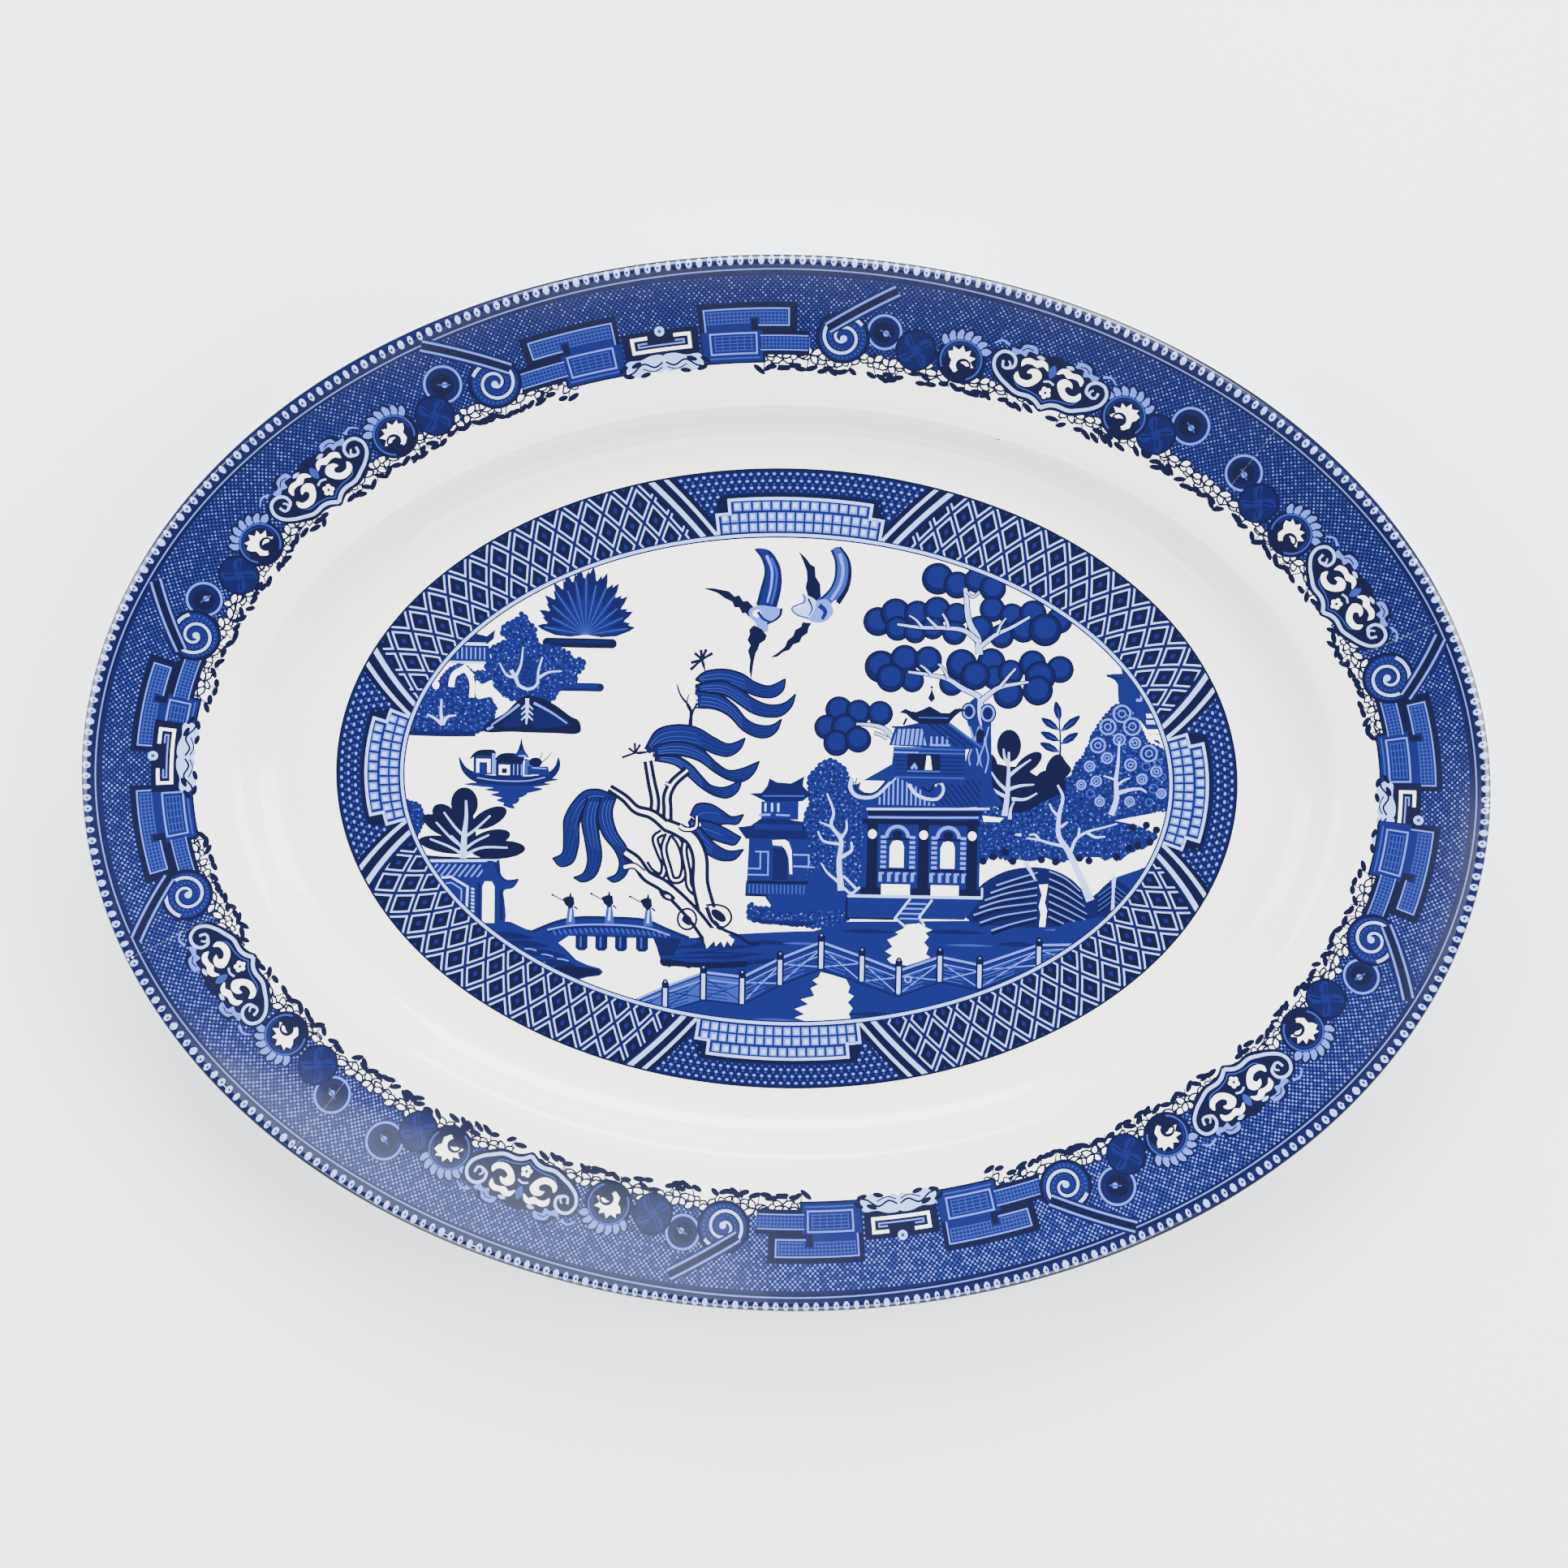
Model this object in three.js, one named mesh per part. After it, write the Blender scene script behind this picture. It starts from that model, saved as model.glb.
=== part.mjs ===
// An oval serving platter of glazed earthenware, in millimetres.
// +Z is up, +X runs along the length, and the origin is the middle of the plane the foot ring stands on.
// One fired body carries six printed transfers. Each transfer is a thin film that lies flush in its own
// shallow seat in the body: two long and two short strips round the rim, one oval in the well and one
// small oval mark on the base.
import * as THREE from "three";

// Overall sizes
const LENGTH = 356;
const WIDTH = 269;
const HEIGHT = 28;

// Rim, well and foot
const RIM_WIDTH = 38; // lip to verge, in plan
const RIM_FALL = 10.5; // how far the rim's top drops from lip to verge
const RIM_DISH = 0.8; // how far the rim's top hangs below a straight line
const RIM_THICKNESS = 4.8;
const WALL_RUN = 13.5; // verge to floor, in plan
const SHOULDER_REACH = 0.3; // share of the wall's run over which it leaves the verge
const SHOULDER_DROP = 0.22; // fall over that reach, as a share of the wall's run
const HEEL_REACH = 0.45; // share of the wall's run where its curve turns to meet the floor
const FLOOR_HEIGHT = 7.6; // top of the well's floor above the table
const FLOOR_THICKNESS = 5.8;
const FOOT_WIDTH = 3.4; // flat part of the foot ring
const FOOT_TAPER = 1.1; // plan width of each sloping side of the foot ring
const FOOT_SET_IN = 1.5; // floor's edge to the foot ring's outer side
const UNDER_WALL_SET_OUT = 4.5; // how much sooner the underside turns up than the floor's edge above it
const UNDER_VERGE_SET_OUT = 0.3; // how far the underside's bend lies outside the verge, in rim thicknesses

// Printed transfers and their seats
const FILM = 0.25;
const SEAT_CLEARANCE = 0.05; // under a film
const SIDE_CLEARANCE = 0.15; // round a film's edge
const BORDER_START_ANGLE = 50; // strips' outer edge, in degrees from the lip's crest down its outer side
const BORDER_MARGIN = 7; // border strips' inner edge to the verge, in plan
const CENTRE_END_MARGIN = 11; // floor's edge to the centre print, at the platter's ends
const CENTRE_SIDE_MARGIN = 3; // and at its sides
const MARK_LENGTH = 34;
const MARK_WIDTH = 26;

// Where the border strips are joined, in degrees of the ellipse's own angle from +X
const JOINS = { east: 20, north: 45, west: 200, south: 225 };

// How finely the shapes are cut into flats
const STEP = 5; // degrees
const CREST_STEPS = 2; // from the strips' outer edge to the lip's crest
const LIP_STEPS = 4; // from the strips' outer edge round the lip to its underside
const RIM_STEPS = 4;
const WALL_STEPS = 6;

const SEAT_DEPTH = FILM + SEAT_CLEARANCE;
const FLOOR_INSET = RIM_WIDTH + WALL_RUN;
const BASE_HEIGHT = FLOOR_HEIGHT - FLOOR_THICKNESS; // underside of the well's floor above the table
const CENTRE_LENGTH = LENGTH - 2 * (FLOOR_INSET + CENTRE_END_MARGIN);
const CENTRE_WIDTH = WIDTH - 2 * (FLOOR_INSET + CENTRE_SIDE_MARGIN);
const LIP_RADIUS = RIM_THICKNESS / 2;
const BORDER_WIDTH = RIM_WIDTH - BORDER_MARGIN;

const radians = THREE.MathUtils.degToRad;
const point = (inset, height) => new THREE.Vector2(inset, height);

// Lip: half a circle, by angle from its crest. Positive angles go down the outer side.
function lipPoint(degrees) {
  const a = radians(degrees);
  return point(
    LIP_RADIUS * (1 - Math.sin(a)),
    HEIGHT - LIP_RADIUS * (1 - Math.cos(a)),
  );
}

// The rim's top from crest to verge, as one shallow curve.
const VERGE = point(RIM_WIDTH, HEIGHT - RIM_FALL);
const RIM_MIDDLE = point(
  (LIP_RADIUS + RIM_WIDTH) / 2,
  HEIGHT - RIM_FALL / 2 - 2 * RIM_DISH,
);
const rimTop = new THREE.QuadraticBezierCurve(
  point(LIP_RADIUS, HEIGHT),
  RIM_MIDDLE,
  VERGE,
);

// The well's wall from verge to floor, level where it meets the floor.
const wallTop = new THREE.CubicBezierCurve(
  VERGE,
  point(
    RIM_WIDTH + WALL_RUN * SHOULDER_REACH,
    HEIGHT - RIM_FALL - WALL_RUN * SHOULDER_DROP,
  ),
  point(RIM_WIDTH + WALL_RUN * HEEL_REACH, FLOOR_HEIGHT),
  point(FLOOR_INSET, FLOOR_HEIGHT),
);

// Height of the rim's top at an inset from the lip.
function rimHeight(inset) {
  if (inset < LIP_RADIUS) {
    const across = LIP_RADIUS - inset;
    return HEIGHT - LIP_RADIUS + Math.sqrt(LIP_RADIUS ** 2 - across ** 2);
  }
  const [a, b, c] = [LIP_RADIUS, RIM_MIDDLE.x, RIM_WIDTH];
  const curve = a - 2 * b + c;
  const slope = 2 * (b - a);
  const rest = a - inset;
  const t =
    Math.abs(curve) < 1e-9
      ? -rest / slope
      : (-slope + Math.sqrt(slope ** 2 - 4 * curve * rest)) / (2 * curve);
  return rimTop.getPoint(t).y;
}

// A ring is an ellipse at one height. Rings round the rim and wall are set in from the lip by the same
// amount on both axes. The well and the mark have ellipses of their own.
const insetRing = (p) => ({
  a: LENGTH / 2 - p.x,
  b: WIDTH / 2 - p.x,
  z: p.y,
});
const ovalRing = (length, width, z) => ({ a: length / 2, b: width / 2, z });

function ringPoint(ring, degrees) {
  const a = radians(degrees);
  return [ring.a * Math.cos(a), ring.b * Math.sin(a), ring.z];
}

// A closed solid from a list of triangles' corners.
function solid(corners) {
  const geometry = new THREE.BufferGeometry();
  geometry.setAttribute(
    "position",
    new THREE.Float32BufferAttribute(corners.flat(), 3),
  );
  geometry.computeVertexNormals();
  return geometry;
}

const quad = (p, q, r, s) => [p, q, r, p, r, s];

// Turns rings, listed from the top's middle over the lip to the base's middle, into a closed solid.
// The first and last rings are points on the axis.
function turned(rings) {
  const corners = [];
  for (let i = 0; i + 1 < rings.length; i += 1) {
    for (let at = 0; at < 360; at += STEP) {
      const next = (at + STEP) % 360;
      const p = ringPoint(rings[i], at);
      const q = ringPoint(rings[i + 1], at);
      const r = ringPoint(rings[i + 1], next);
      const s = ringPoint(rings[i], next);
      if (i === 0) corners.push(p, q, r);
      else if (i + 2 === rings.length) corners.push(p, q, s);
      else corners.push(...quad(p, q, r, s));
    }
  }
  return solid(corners);
}

// Angles from one end of a strip to the other, each end drawn back by half the gap at a join.
function stripAngles(from, to) {
  const back = THREE.MathUtils.radToDeg(SIDE_CLEARANCE / (WIDTH / 2));
  const angles = [from + back];
  for (let at = from + STEP; at < to; at += STEP) angles.push(at);
  return [...angles, to - back];
}

// A curved strip between two angles. The rings go once round its cross-section, starting at the outer
// edge of its top, along the top to the inner edge and back along the bottom.
function strip(rings, from, to) {
  const corners = [];
  const angles = stripAngles(from, to);
  for (let k = 0; k + 1 < angles.length; k += 1) {
    const [at, next] = [angles[k], angles[k + 1]];
    rings.forEach((ring, i) => {
      const after = rings[(i + 1) % rings.length];
      corners.push(
        ...quad(
          ringPoint(ring, at),
          ringPoint(ring, next),
          ringPoint(after, next),
          ringPoint(after, at),
        ),
      );
    });
  }
  for (let i = 0; i + 1 < rings.length / 2; i += 1) {
    const under = rings.length - 1 - i;
    const section = [rings[i], rings[i + 1], rings[under - 1], rings[under]];
    const end = (at) => section.map((ring) => ringPoint(ring, at));
    corners.push(...quad(...end(angles[0])));
    corners.push(...quad(...end(angles.at(-1)).reverse()));
  }
  return solid(corners);
}

// A flat oval film, its top at one height.
function ovalFilm(length, width, top) {
  const upper = ovalRing(length, width, top);
  const lower = ovalRing(length, width, top - FILM);
  return turned([
    ovalRing(0, 0, top),
    upper,
    lower,
    ovalRing(0, 0, top - FILM),
  ]);
}

// Insets of the border's cross-section, outer edge first.
function borderInsets(outer, inner) {
  const insets = [outer];
  for (let i = 1; i <= CREST_STEPS; i += 1)
    insets.push(outer + ((LIP_RADIUS - outer) * i) / CREST_STEPS);
  for (let i = 1; i <= RIM_STEPS; i += 1)
    insets.push(LIP_RADIUS + ((inner - LIP_RADIUS) * i) / RIM_STEPS);
  return insets;
}

// Points of the rim's top at those insets, a depth below its surface.
const lowered = (insets, depth) =>
  insets.map((inset) => point(inset, rimHeight(inset) - depth));

// The seat that the border strips lie in, inner edge first.
function borderSeat() {
  const outer = lipPoint(BORDER_START_ANGLE).x;
  return [
    ...lowered([BORDER_WIDTH], 0),
    ...lowered(borderInsets(outer, BORDER_WIDTH), SEAT_DEPTH).reverse(),
    ...lowered([outer], 0),
  ];
}

// The lip's outer side, from the border's seat down to where the underside starts.
function lipOutline() {
  const turn = (180 - BORDER_START_ANGLE) / LIP_STEPS;
  const points = [];
  for (let i = 1; i <= LIP_STEPS; i += 1)
    points.push(lipPoint(BORDER_START_ANGLE + turn * i));
  return points;
}

// The underside, from the lip under the rim and the wall to the foot ring's inner side.
function undersideOutline() {
  const footOuter = FLOOR_INSET + FOOT_SET_IN;
  const footInner = footOuter + 2 * FOOT_TAPER + FOOT_WIDTH;
  const wallFoot = FLOOR_INSET - UNDER_WALL_SET_OUT;
  const underVerge = point(
    RIM_WIDTH - RIM_THICKNESS * UNDER_VERGE_SET_OUT,
    VERGE.y - RIM_THICKNESS,
  );
  const underRim = new THREE.QuadraticBezierCurve(
    point(LIP_RADIUS, HEIGHT - RIM_THICKNESS),
    point(RIM_MIDDLE.x, RIM_MIDDLE.y - RIM_THICKNESS),
    underVerge,
  );
  const underWall = new THREE.QuadraticBezierCurve(
    underVerge,
    point(wallFoot - FOOT_TAPER, BASE_HEIGHT + FOOT_TAPER),
    point(footOuter, BASE_HEIGHT),
  );
  return [
    ...underRim.getPoints(RIM_STEPS).slice(1),
    ...underWall.getPoints(WALL_STEPS).slice(1),
    point(footOuter + FOOT_TAPER, 0),
    point(footOuter + FOOT_TAPER + FOOT_WIDTH, 0),
    point(footInner, BASE_HEIGHT),
  ];
}

// The whole body, from the middle of the well over the lip to the middle of the base.
function bodyRings() {
  const sides = [
    ...wallTop.getPoints(WALL_STEPS).reverse(),
    ...borderSeat(),
    ...lipOutline(),
    ...undersideOutline(),
  ];
  return [
    ovalRing(0, 0, FLOOR_HEIGHT - SEAT_DEPTH),
    ovalRing(CENTRE_LENGTH, CENTRE_WIDTH, FLOOR_HEIGHT - SEAT_DEPTH),
    ovalRing(CENTRE_LENGTH, CENTRE_WIDTH, FLOOR_HEIGHT),
    ...sides.map(insetRing),
    ovalRing(MARK_LENGTH, MARK_WIDTH, BASE_HEIGHT),
    ovalRing(MARK_LENGTH, MARK_WIDTH, BASE_HEIGHT + SEAT_DEPTH),
    ovalRing(0, 0, BASE_HEIGHT + SEAT_DEPTH),
  ];
}

// A border strip's cross-section, just clear of its seat all round.
function borderRings() {
  const outer = lipPoint(BORDER_START_ANGLE).x + SIDE_CLEARANCE;
  const insets = borderInsets(outer, BORDER_WIDTH - SIDE_CLEARANCE);
  return [
    ...lowered(insets, 0),
    ...lowered(insets, FILM).reverse(),
  ].map(insetRing);
}

const glaze = new THREE.MeshStandardMaterial({
  color: 0xf1efe6,
  roughness: 0.12,
  metalness: 0,
});
const ink = new THREE.MeshStandardMaterial({
  color: 0x24428f,
  roughness: 0.12,
  metalness: 0,
});

const platter = new THREE.Group();

function addPiece(name, geometry, material) {
  const mesh = new THREE.Mesh(geometry, material);
  mesh.name = name;
  platter.add(mesh);
}

addPiece("platter_body", turned(bodyRings()), glaze);

// The strips meet at the joins. Each one stops short of its neighbour by the side clearance.
function addBorderStrip(name, from, to) {
  addPiece(name, strip(borderRings(), from, to), ink);
}

addBorderStrip("border_strip_north", JOINS.north, JOINS.west);
addBorderStrip("border_strip_west", JOINS.west, JOINS.south);
addBorderStrip("border_strip_south", JOINS.south, JOINS.east + 360);
addBorderStrip("border_strip_east", JOINS.east, JOINS.north);

// The oval films are smaller than their seats by the side clearance all round.
function addOvalFilm(name, seatLength, seatWidth, top) {
  const length = seatLength - 2 * SIDE_CLEARANCE;
  const width = seatWidth - 2 * SIDE_CLEARANCE;
  addPiece(name, ovalFilm(length, width, top), ink);
}

addOvalFilm("centre_print", CENTRE_LENGTH, CENTRE_WIDTH, FLOOR_HEIGHT);
addOvalFilm("base_mark", MARK_LENGTH, MARK_WIDTH, BASE_HEIGHT + FILM);

export default platter;
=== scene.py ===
"""An oval serving platter of glazed earthenware, printed in cobalt blue.

The fired body is one closed shape. Four strips of printed border, the printed oval in the well and a small
mark on the base lie on it as thin films, each drawn shape by shape and cut out of one even mesh.
Drawings are in millimetres. Everything that reaches the scene is in metres.
"""
import logging
import math
from collections.abc import Callable, Sequence
from dataclasses import dataclass, field
from enum import IntEnum

import bpy
import numpy as np
from mathutils import Euler, Matrix, Vector
from mathutils.geometry import delaunay_2d_cdt


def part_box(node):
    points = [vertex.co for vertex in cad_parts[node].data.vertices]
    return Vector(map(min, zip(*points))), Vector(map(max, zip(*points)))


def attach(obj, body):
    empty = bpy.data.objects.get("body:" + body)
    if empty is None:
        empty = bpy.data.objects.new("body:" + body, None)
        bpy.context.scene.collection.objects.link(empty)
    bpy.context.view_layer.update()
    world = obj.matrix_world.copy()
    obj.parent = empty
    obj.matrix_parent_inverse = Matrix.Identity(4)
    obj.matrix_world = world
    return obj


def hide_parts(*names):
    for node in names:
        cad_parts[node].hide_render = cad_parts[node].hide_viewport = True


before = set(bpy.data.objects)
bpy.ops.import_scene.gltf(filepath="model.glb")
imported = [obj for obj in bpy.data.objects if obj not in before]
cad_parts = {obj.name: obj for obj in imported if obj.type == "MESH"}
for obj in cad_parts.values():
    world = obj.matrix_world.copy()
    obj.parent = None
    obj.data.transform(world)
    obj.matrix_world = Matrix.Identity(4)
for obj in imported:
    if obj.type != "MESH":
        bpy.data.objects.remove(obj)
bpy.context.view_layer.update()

MM = 0.001
Colour = tuple[float, float, float, float]
Outline = str | Sequence[tuple[float, float]] | np.ndarray
log = logging.getLogger("platter")


class Tone(IntEnum):
    """Strengths of printed ink, from bare glaze to the darkest line, in the order of a film's slots."""

    CLEAR = 0
    PALE = 1
    LIGHT = 2
    SOFT = 3
    MID = 4
    DEEP = 5
    NAVY = 6


CLEAR, PALE, LIGHT, SOFT, MID, DEEP, NAVY = Tone


# ---------------------------------------------------------------- materials


class Value:
    """A node's output in expressions. Each operator adds the Math node that works it out."""

    def __init__(self, nodes: "NodeBench", socket: bpy.types.NodeSocket) -> None:
        """Holds the output socket and the bench it stands on."""
        self.nodes = nodes
        self.socket = socket

    def _maths(self, operation: str, first: "Value | float", second: "Value | float") -> "Value":
        """Adds one Math node.

        Args:
            operation: the node's operation.
            first: its first input.
            second: its second input.

        Returns:
            The node's result.
        """
        return self.nodes.add("ShaderNodeMath", {"operation": operation}, {0: first, 1: second})

    def __add__(self, other: "Value | float") -> "Value":
        """Returns self + other."""
        return self._maths("ADD", self, other)

    __radd__ = __add__

    def __mul__(self, other: "Value | float") -> "Value":
        """Returns self * other."""
        return self._maths("MULTIPLY", self, other)

    __rmul__ = __mul__

    def __sub__(self, other: "Value | float") -> "Value":
        """Returns self - other."""
        return self._maths("SUBTRACT", self, other)

    def __rsub__(self, other: float) -> "Value":
        """Returns other - self."""
        return self._maths("SUBTRACT", other, self)

    def __gt__(self, other: float) -> "Value":
        """Returns 1 where self is greater than other, else 0."""
        return self._maths("GREATER_THAN", self, other)


class NodeBench:
    """Builds one material's nodes."""

    def __init__(self, name: str) -> None:
        """Starts an empty node material of that name."""
        self.material = bpy.data.materials.new(name)
        self.material.use_nodes = True
        self.tree = self.material.node_tree
        self.tree.nodes.clear()

    def add(
        self, kind: str, settings: dict[str, object], inputs: dict[int | str, object], output: int | str = 0
    ) -> Value:
        """Adds a node.

        Args:
            kind: the node's type.
            settings: its properties, set before its sockets are filled.
            inputs: what each input socket holds, a number, a colour or another node's Value.
            output: which output the result stands for.

        Returns:
            That output.
        """
        node = self.tree.nodes.new(kind)
        for name, setting in settings.items():
            setattr(node, name, setting)
        for name, given in inputs.items():
            if isinstance(given, Value):
                self.tree.links.new(given.socket, node.inputs[name])
            else:
                node.inputs[name].default_value = given
        return Value(self, node.outputs[output])

    def place(self) -> Value:
        """Returns the point's place on the object, in metres."""
        return self.add("ShaderNodeTexCoord", {}, {}, "Object")

    def noise(self, across_mm: float, detail: float = 2.0) -> Value:
        """Adds smooth noise.

        Args:
            across_mm: size of its patches.
            detail: how much finer noise is laid over them.

        Returns:
            Noise from 0 to 1, around 0.5.
        """
        inputs = {"Vector": self.place(), "Scale": 1 / (across_mm * MM), "Detail": detail}
        return self.add("ShaderNodeTexNoise", {}, inputs, "Fac")

    def blend(self, share: Value, first: "Colour | Value", second: "Colour | Value") -> Value:
        """Mixes two colours.

        Args:
            share: how much of the second, from 0 to 1.
            first: a colour.
            second: another.

        Returns:
            The mixed colour.
        """
        return self.add("ShaderNodeMix", {"data_type": "RGBA"}, {0: share, 6: first, 7: second}, 2)

    def bump(self, height: Value, distance_mm: float, strength: float) -> Value:
        """Turns a height from 0 to 1 into a bumped normal.

        Args:
            height: the height.
            distance_mm: how high 1 stands.
            strength: share of the bump that shows.

        Returns:
            The normal.
        """
        inputs = {"Height": height, "Distance": distance_mm * MM, "Strength": strength}
        return self.add("ShaderNodeBump", {}, inputs, "Normal")

    def finish(self, inputs: dict[str, object]) -> bpy.types.Material:
        """Adds the surface shader and the output.

        Args:
            inputs: what the shader's sockets hold.

        Returns:
            The finished material.
        """
        surface = self.add("ShaderNodeBsdfPrincipled", {}, inputs, "BSDF")
        output = self.tree.nodes.new("ShaderNodeOutputMaterial")
        self.tree.links.new(surface.socket, output.inputs["Surface"])
        return self.material


def linear(code: str) -> Colour:
    """Turns a colour code such as 2d4ba0 into the linear colour that sockets take.

    Args:
        code: six hexadecimal digits, red first.

    Returns:
        The colour, with an alpha of 1.
    """
    shares = [int(code[i : i + 2], 16) / 255 for i in (0, 2, 4)]
    red, green, blue = [s / 12.92 if s <= 0.04045 else ((s + 0.055) / 1.055) ** 2.4 for s in shares]
    return red, green, blue, 1.0


GLAZE_COAT = {"IOR": 1.5, "Coat Weight": 0.15, "Coat Roughness": 0.03}
GLAZE_BUMP = (0.05, 0.5)


@dataclass(frozen=True)
class Glaze:
    """Clear gloss glaze over off-white earthenware, with faint drifts of warmth and a few iron specks."""

    name: str = "clear_glaze"
    white: str = "efeee8"
    warm: str = "e9e7de"
    speck: str = "4a3a2c"
    gloss: float = 0.07
    drift_mm: float = 45.0
    ripple_mm: float = 9.0
    speck_pitch_mm: float = 16.0
    speck_size: float = 0.022
    speck_patches: float = 0.62

    def make(self) -> bpy.types.Material:
        """Builds the material, its colour worked out over the whole body."""
        bench = NodeBench(self.name)
        drift = bench.noise(self.drift_mm)
        cells = {"Vector": bench.place(), "Scale": 1 / (self.speck_pitch_mm * MM)}
        specks = bench.add("ShaderNodeTexVoronoi", {}, cells, "Distance")
        chosen = (bench.noise(30, 0) > self.speck_patches) * (1 - (specks > self.speck_size))
        clean = bench.blend(drift, linear(self.white), linear(self.warm))
        ripple = bench.noise(self.ripple_mm) * 0.8 + bench.noise(0.9) * 0.05
        return bench.finish({
            "Base Color": bench.blend(chosen, clean, linear(self.speck)),
            "Roughness": bench.noise(14, 4) * 0.06 + self.gloss,
            "Normal": bench.bump(ripple, *GLAZE_BUMP),
            **GLAZE_COAT,
        })


@dataclass(frozen=True)
class Ink:
    """One strength of ink under the same glaze. Its edges come from the drawing, so its colour is even."""

    tone: Tone
    colour: str
    gloss: float = 0.08
    ripple_mm: float = 9.0
    grain_mm: float = 0.45

    def make(self) -> bpy.types.Material:
        """Builds the material. Heavier ink lies a little rougher under the glaze."""
        bench = NodeBench(f"ink_{self.tone.name.lower()}")
        grain = bench.noise(self.grain_mm)
        ripple = bench.noise(self.ripple_mm) * 0.8 + grain * 0.05
        return bench.finish({
            "Base Color": linear(self.colour),
            "Roughness": bench.noise(14, 4) * 0.06 + grain * 0.02 * self.tone + self.gloss,
            "Normal": bench.bump(ripple, *GLAZE_BUMP),
            **GLAZE_COAT,
        })


@dataclass(frozen=True)
class BareClay:
    """The foot ring's wiped face, where the glaze was taken off before firing."""

    name: str = "bare_clay"
    pale: str = "cfc4ae"
    dark: str = "a8977c"

    def make(self) -> bpy.types.Material:
        """Builds the material, matt and gritty."""
        bench = NodeBench(self.name)
        grit = bench.noise(0.8, 5)
        return bench.finish({
            "Base Color": bench.blend(bench.noise(6, 4), linear(self.pale), linear(self.dark)),
            "Roughness": grit * 0.2 + 0.65,
            "Normal": bench.bump(grit, 0.12, 0.8),
        })


@dataclass(frozen=True)
class Sweep:
    """The pale paper that the platter lies on."""

    name: str = "pale_paper"
    pale: str = "f3f4f6"
    shade: str = "eceef2"

    def make(self) -> bpy.types.Material:
        """Builds the material, matt with a faint tooth."""
        bench = NodeBench(self.name)
        return bench.finish({
            "Base Color": bench.blend(bench.noise(120), linear(self.pale), linear(self.shade)),
            "Roughness": bench.noise(2) * 0.1 + 0.75,
            "Normal": bench.bump(bench.noise(0.6), 0.03, 0.3),
        })


INKS = (
    Ink(CLEAR, "edece6"),
    Ink(PALE, "8c9fda"),
    Ink(LIGHT, "4c5fb4"),
    Ink(SOFT, "1f2e74"),
    Ink(MID, "0b1148"),
    Ink(DEEP, "060935"),
    Ink(NAVY, "030523"),
)


# ---------------------------------------------------------------- the platter's shape


@dataclass(frozen=True)
class PlatterShape:
    """The platter's outline and section in millimetres. A ring is set in from the lip evenly all round."""

    length: float
    width: float
    height: float
    floor_height: float
    base_height: float
    rim_width: float = 38.0
    rim_fall: float = 10.5
    rim_dish: float = 0.8
    lip_radius: float = 2.4
    wall_run: float = 13.5
    shoulder_reach: float = 0.3
    shoulder_drop: float = 0.22
    heel_reach: float = 0.45
    foot_width: float = 3.4
    foot_taper: float = 1.1
    foot_set_in: float = 1.5
    under_wall_set_out: float = 4.5
    under_verge_set_out: float = 0.3
    bead_lift: float = 0.05
    bead_end: float = 4.4
    bead_fade: float = 1.5

    @classmethod
    def from_frame(cls) -> "PlatterShape":
        """Takes the overall sizes from the solid model's nodes."""
        low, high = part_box("platter_body")
        return cls(
            length=(high[0] - low[0]) / MM,
            width=(high[1] - low[1]) / MM,
            height=high[2] / MM,
            floor_height=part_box("centre_print")[1][2] / MM,
            base_height=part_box("base_mark")[0][2] / MM,
        )

    def section(self, inset: np.ndarray) -> tuple[np.ndarray, np.ndarray]:
        """Works out the lip's and rim's top.

        Args:
            inset: distances in from the lip.

        Returns:
            The heights there and their slopes, in millimetres per millimetre of inset.
        """
        across = np.clip(self.lip_radius - inset, 0, self.lip_radius * 0.98)
        rise = np.sqrt(self.lip_radius**2 - across**2)
        run = self.rim_width - self.lip_radius
        share = np.clip((inset - self.lip_radius) / run, 0, 1)
        first = -self.rim_fall / 2 - 2 * self.rim_dish
        drop = 2 * share * (1 - share) * first - share**2 * self.rim_fall
        fall = 2 * ((1 - share) * first + share * (-self.rim_fall - first)) / run
        on_lip = inset < self.lip_radius
        height = self.height + np.where(on_lip, rise - self.lip_radius, drop)
        return height, np.where(on_lip, across / rise, fall)

    def inset(self, places: np.ndarray) -> tuple[np.ndarray, np.ndarray]:
        """Finds how far in from the lip points of the rim are.

        Args:
            places: their x and y.

        Returns:
            Their insets, and the inset's gradients in x and y.
        """
        x, y = places.T
        found = np.zeros(len(places))
        for _ in range(9):
            across, along = self.length / 2 - found, self.width / 2 - found
            error = (x / across) ** 2 + (y / along) ** 2 - 1
            slope = 2 * x**2 / across**3 + 2 * y**2 / along**3
            found = found - error / slope
        gradient = -np.stack([2 * x / across**2, 2 * y / along**2], axis=1) / slope[:, None]
        return found, gradient

    def lift_rim(self, places: np.ndarray) -> tuple[np.ndarray, np.ndarray]:
        """Raises points onto the rim, and on the lip's bead just clear of the body's flats.

        Args:
            places: their x and y.

        Returns:
            Their heights, and the surface's normals there.
        """
        inset, gradient = self.inset(places)
        height, slope = self.section(inset)
        height = height + self.bead_lift * np.clip((self.bead_end - inset) / self.bead_fade, 0, 1)
        normals = np.concatenate([-gradient * slope[:, None], np.ones((len(places), 1))], axis=1)
        return height, normals / np.linalg.norm(normals, axis=1, keepdims=True)

    def lift_flat(self, places: np.ndarray, height: float) -> tuple[np.ndarray, np.ndarray]:
        """Raises points to one height, where the surface is level."""
        return np.full(len(places), height), np.tile((0.0, 0.0, 1.0), (len(places), 1))


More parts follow.
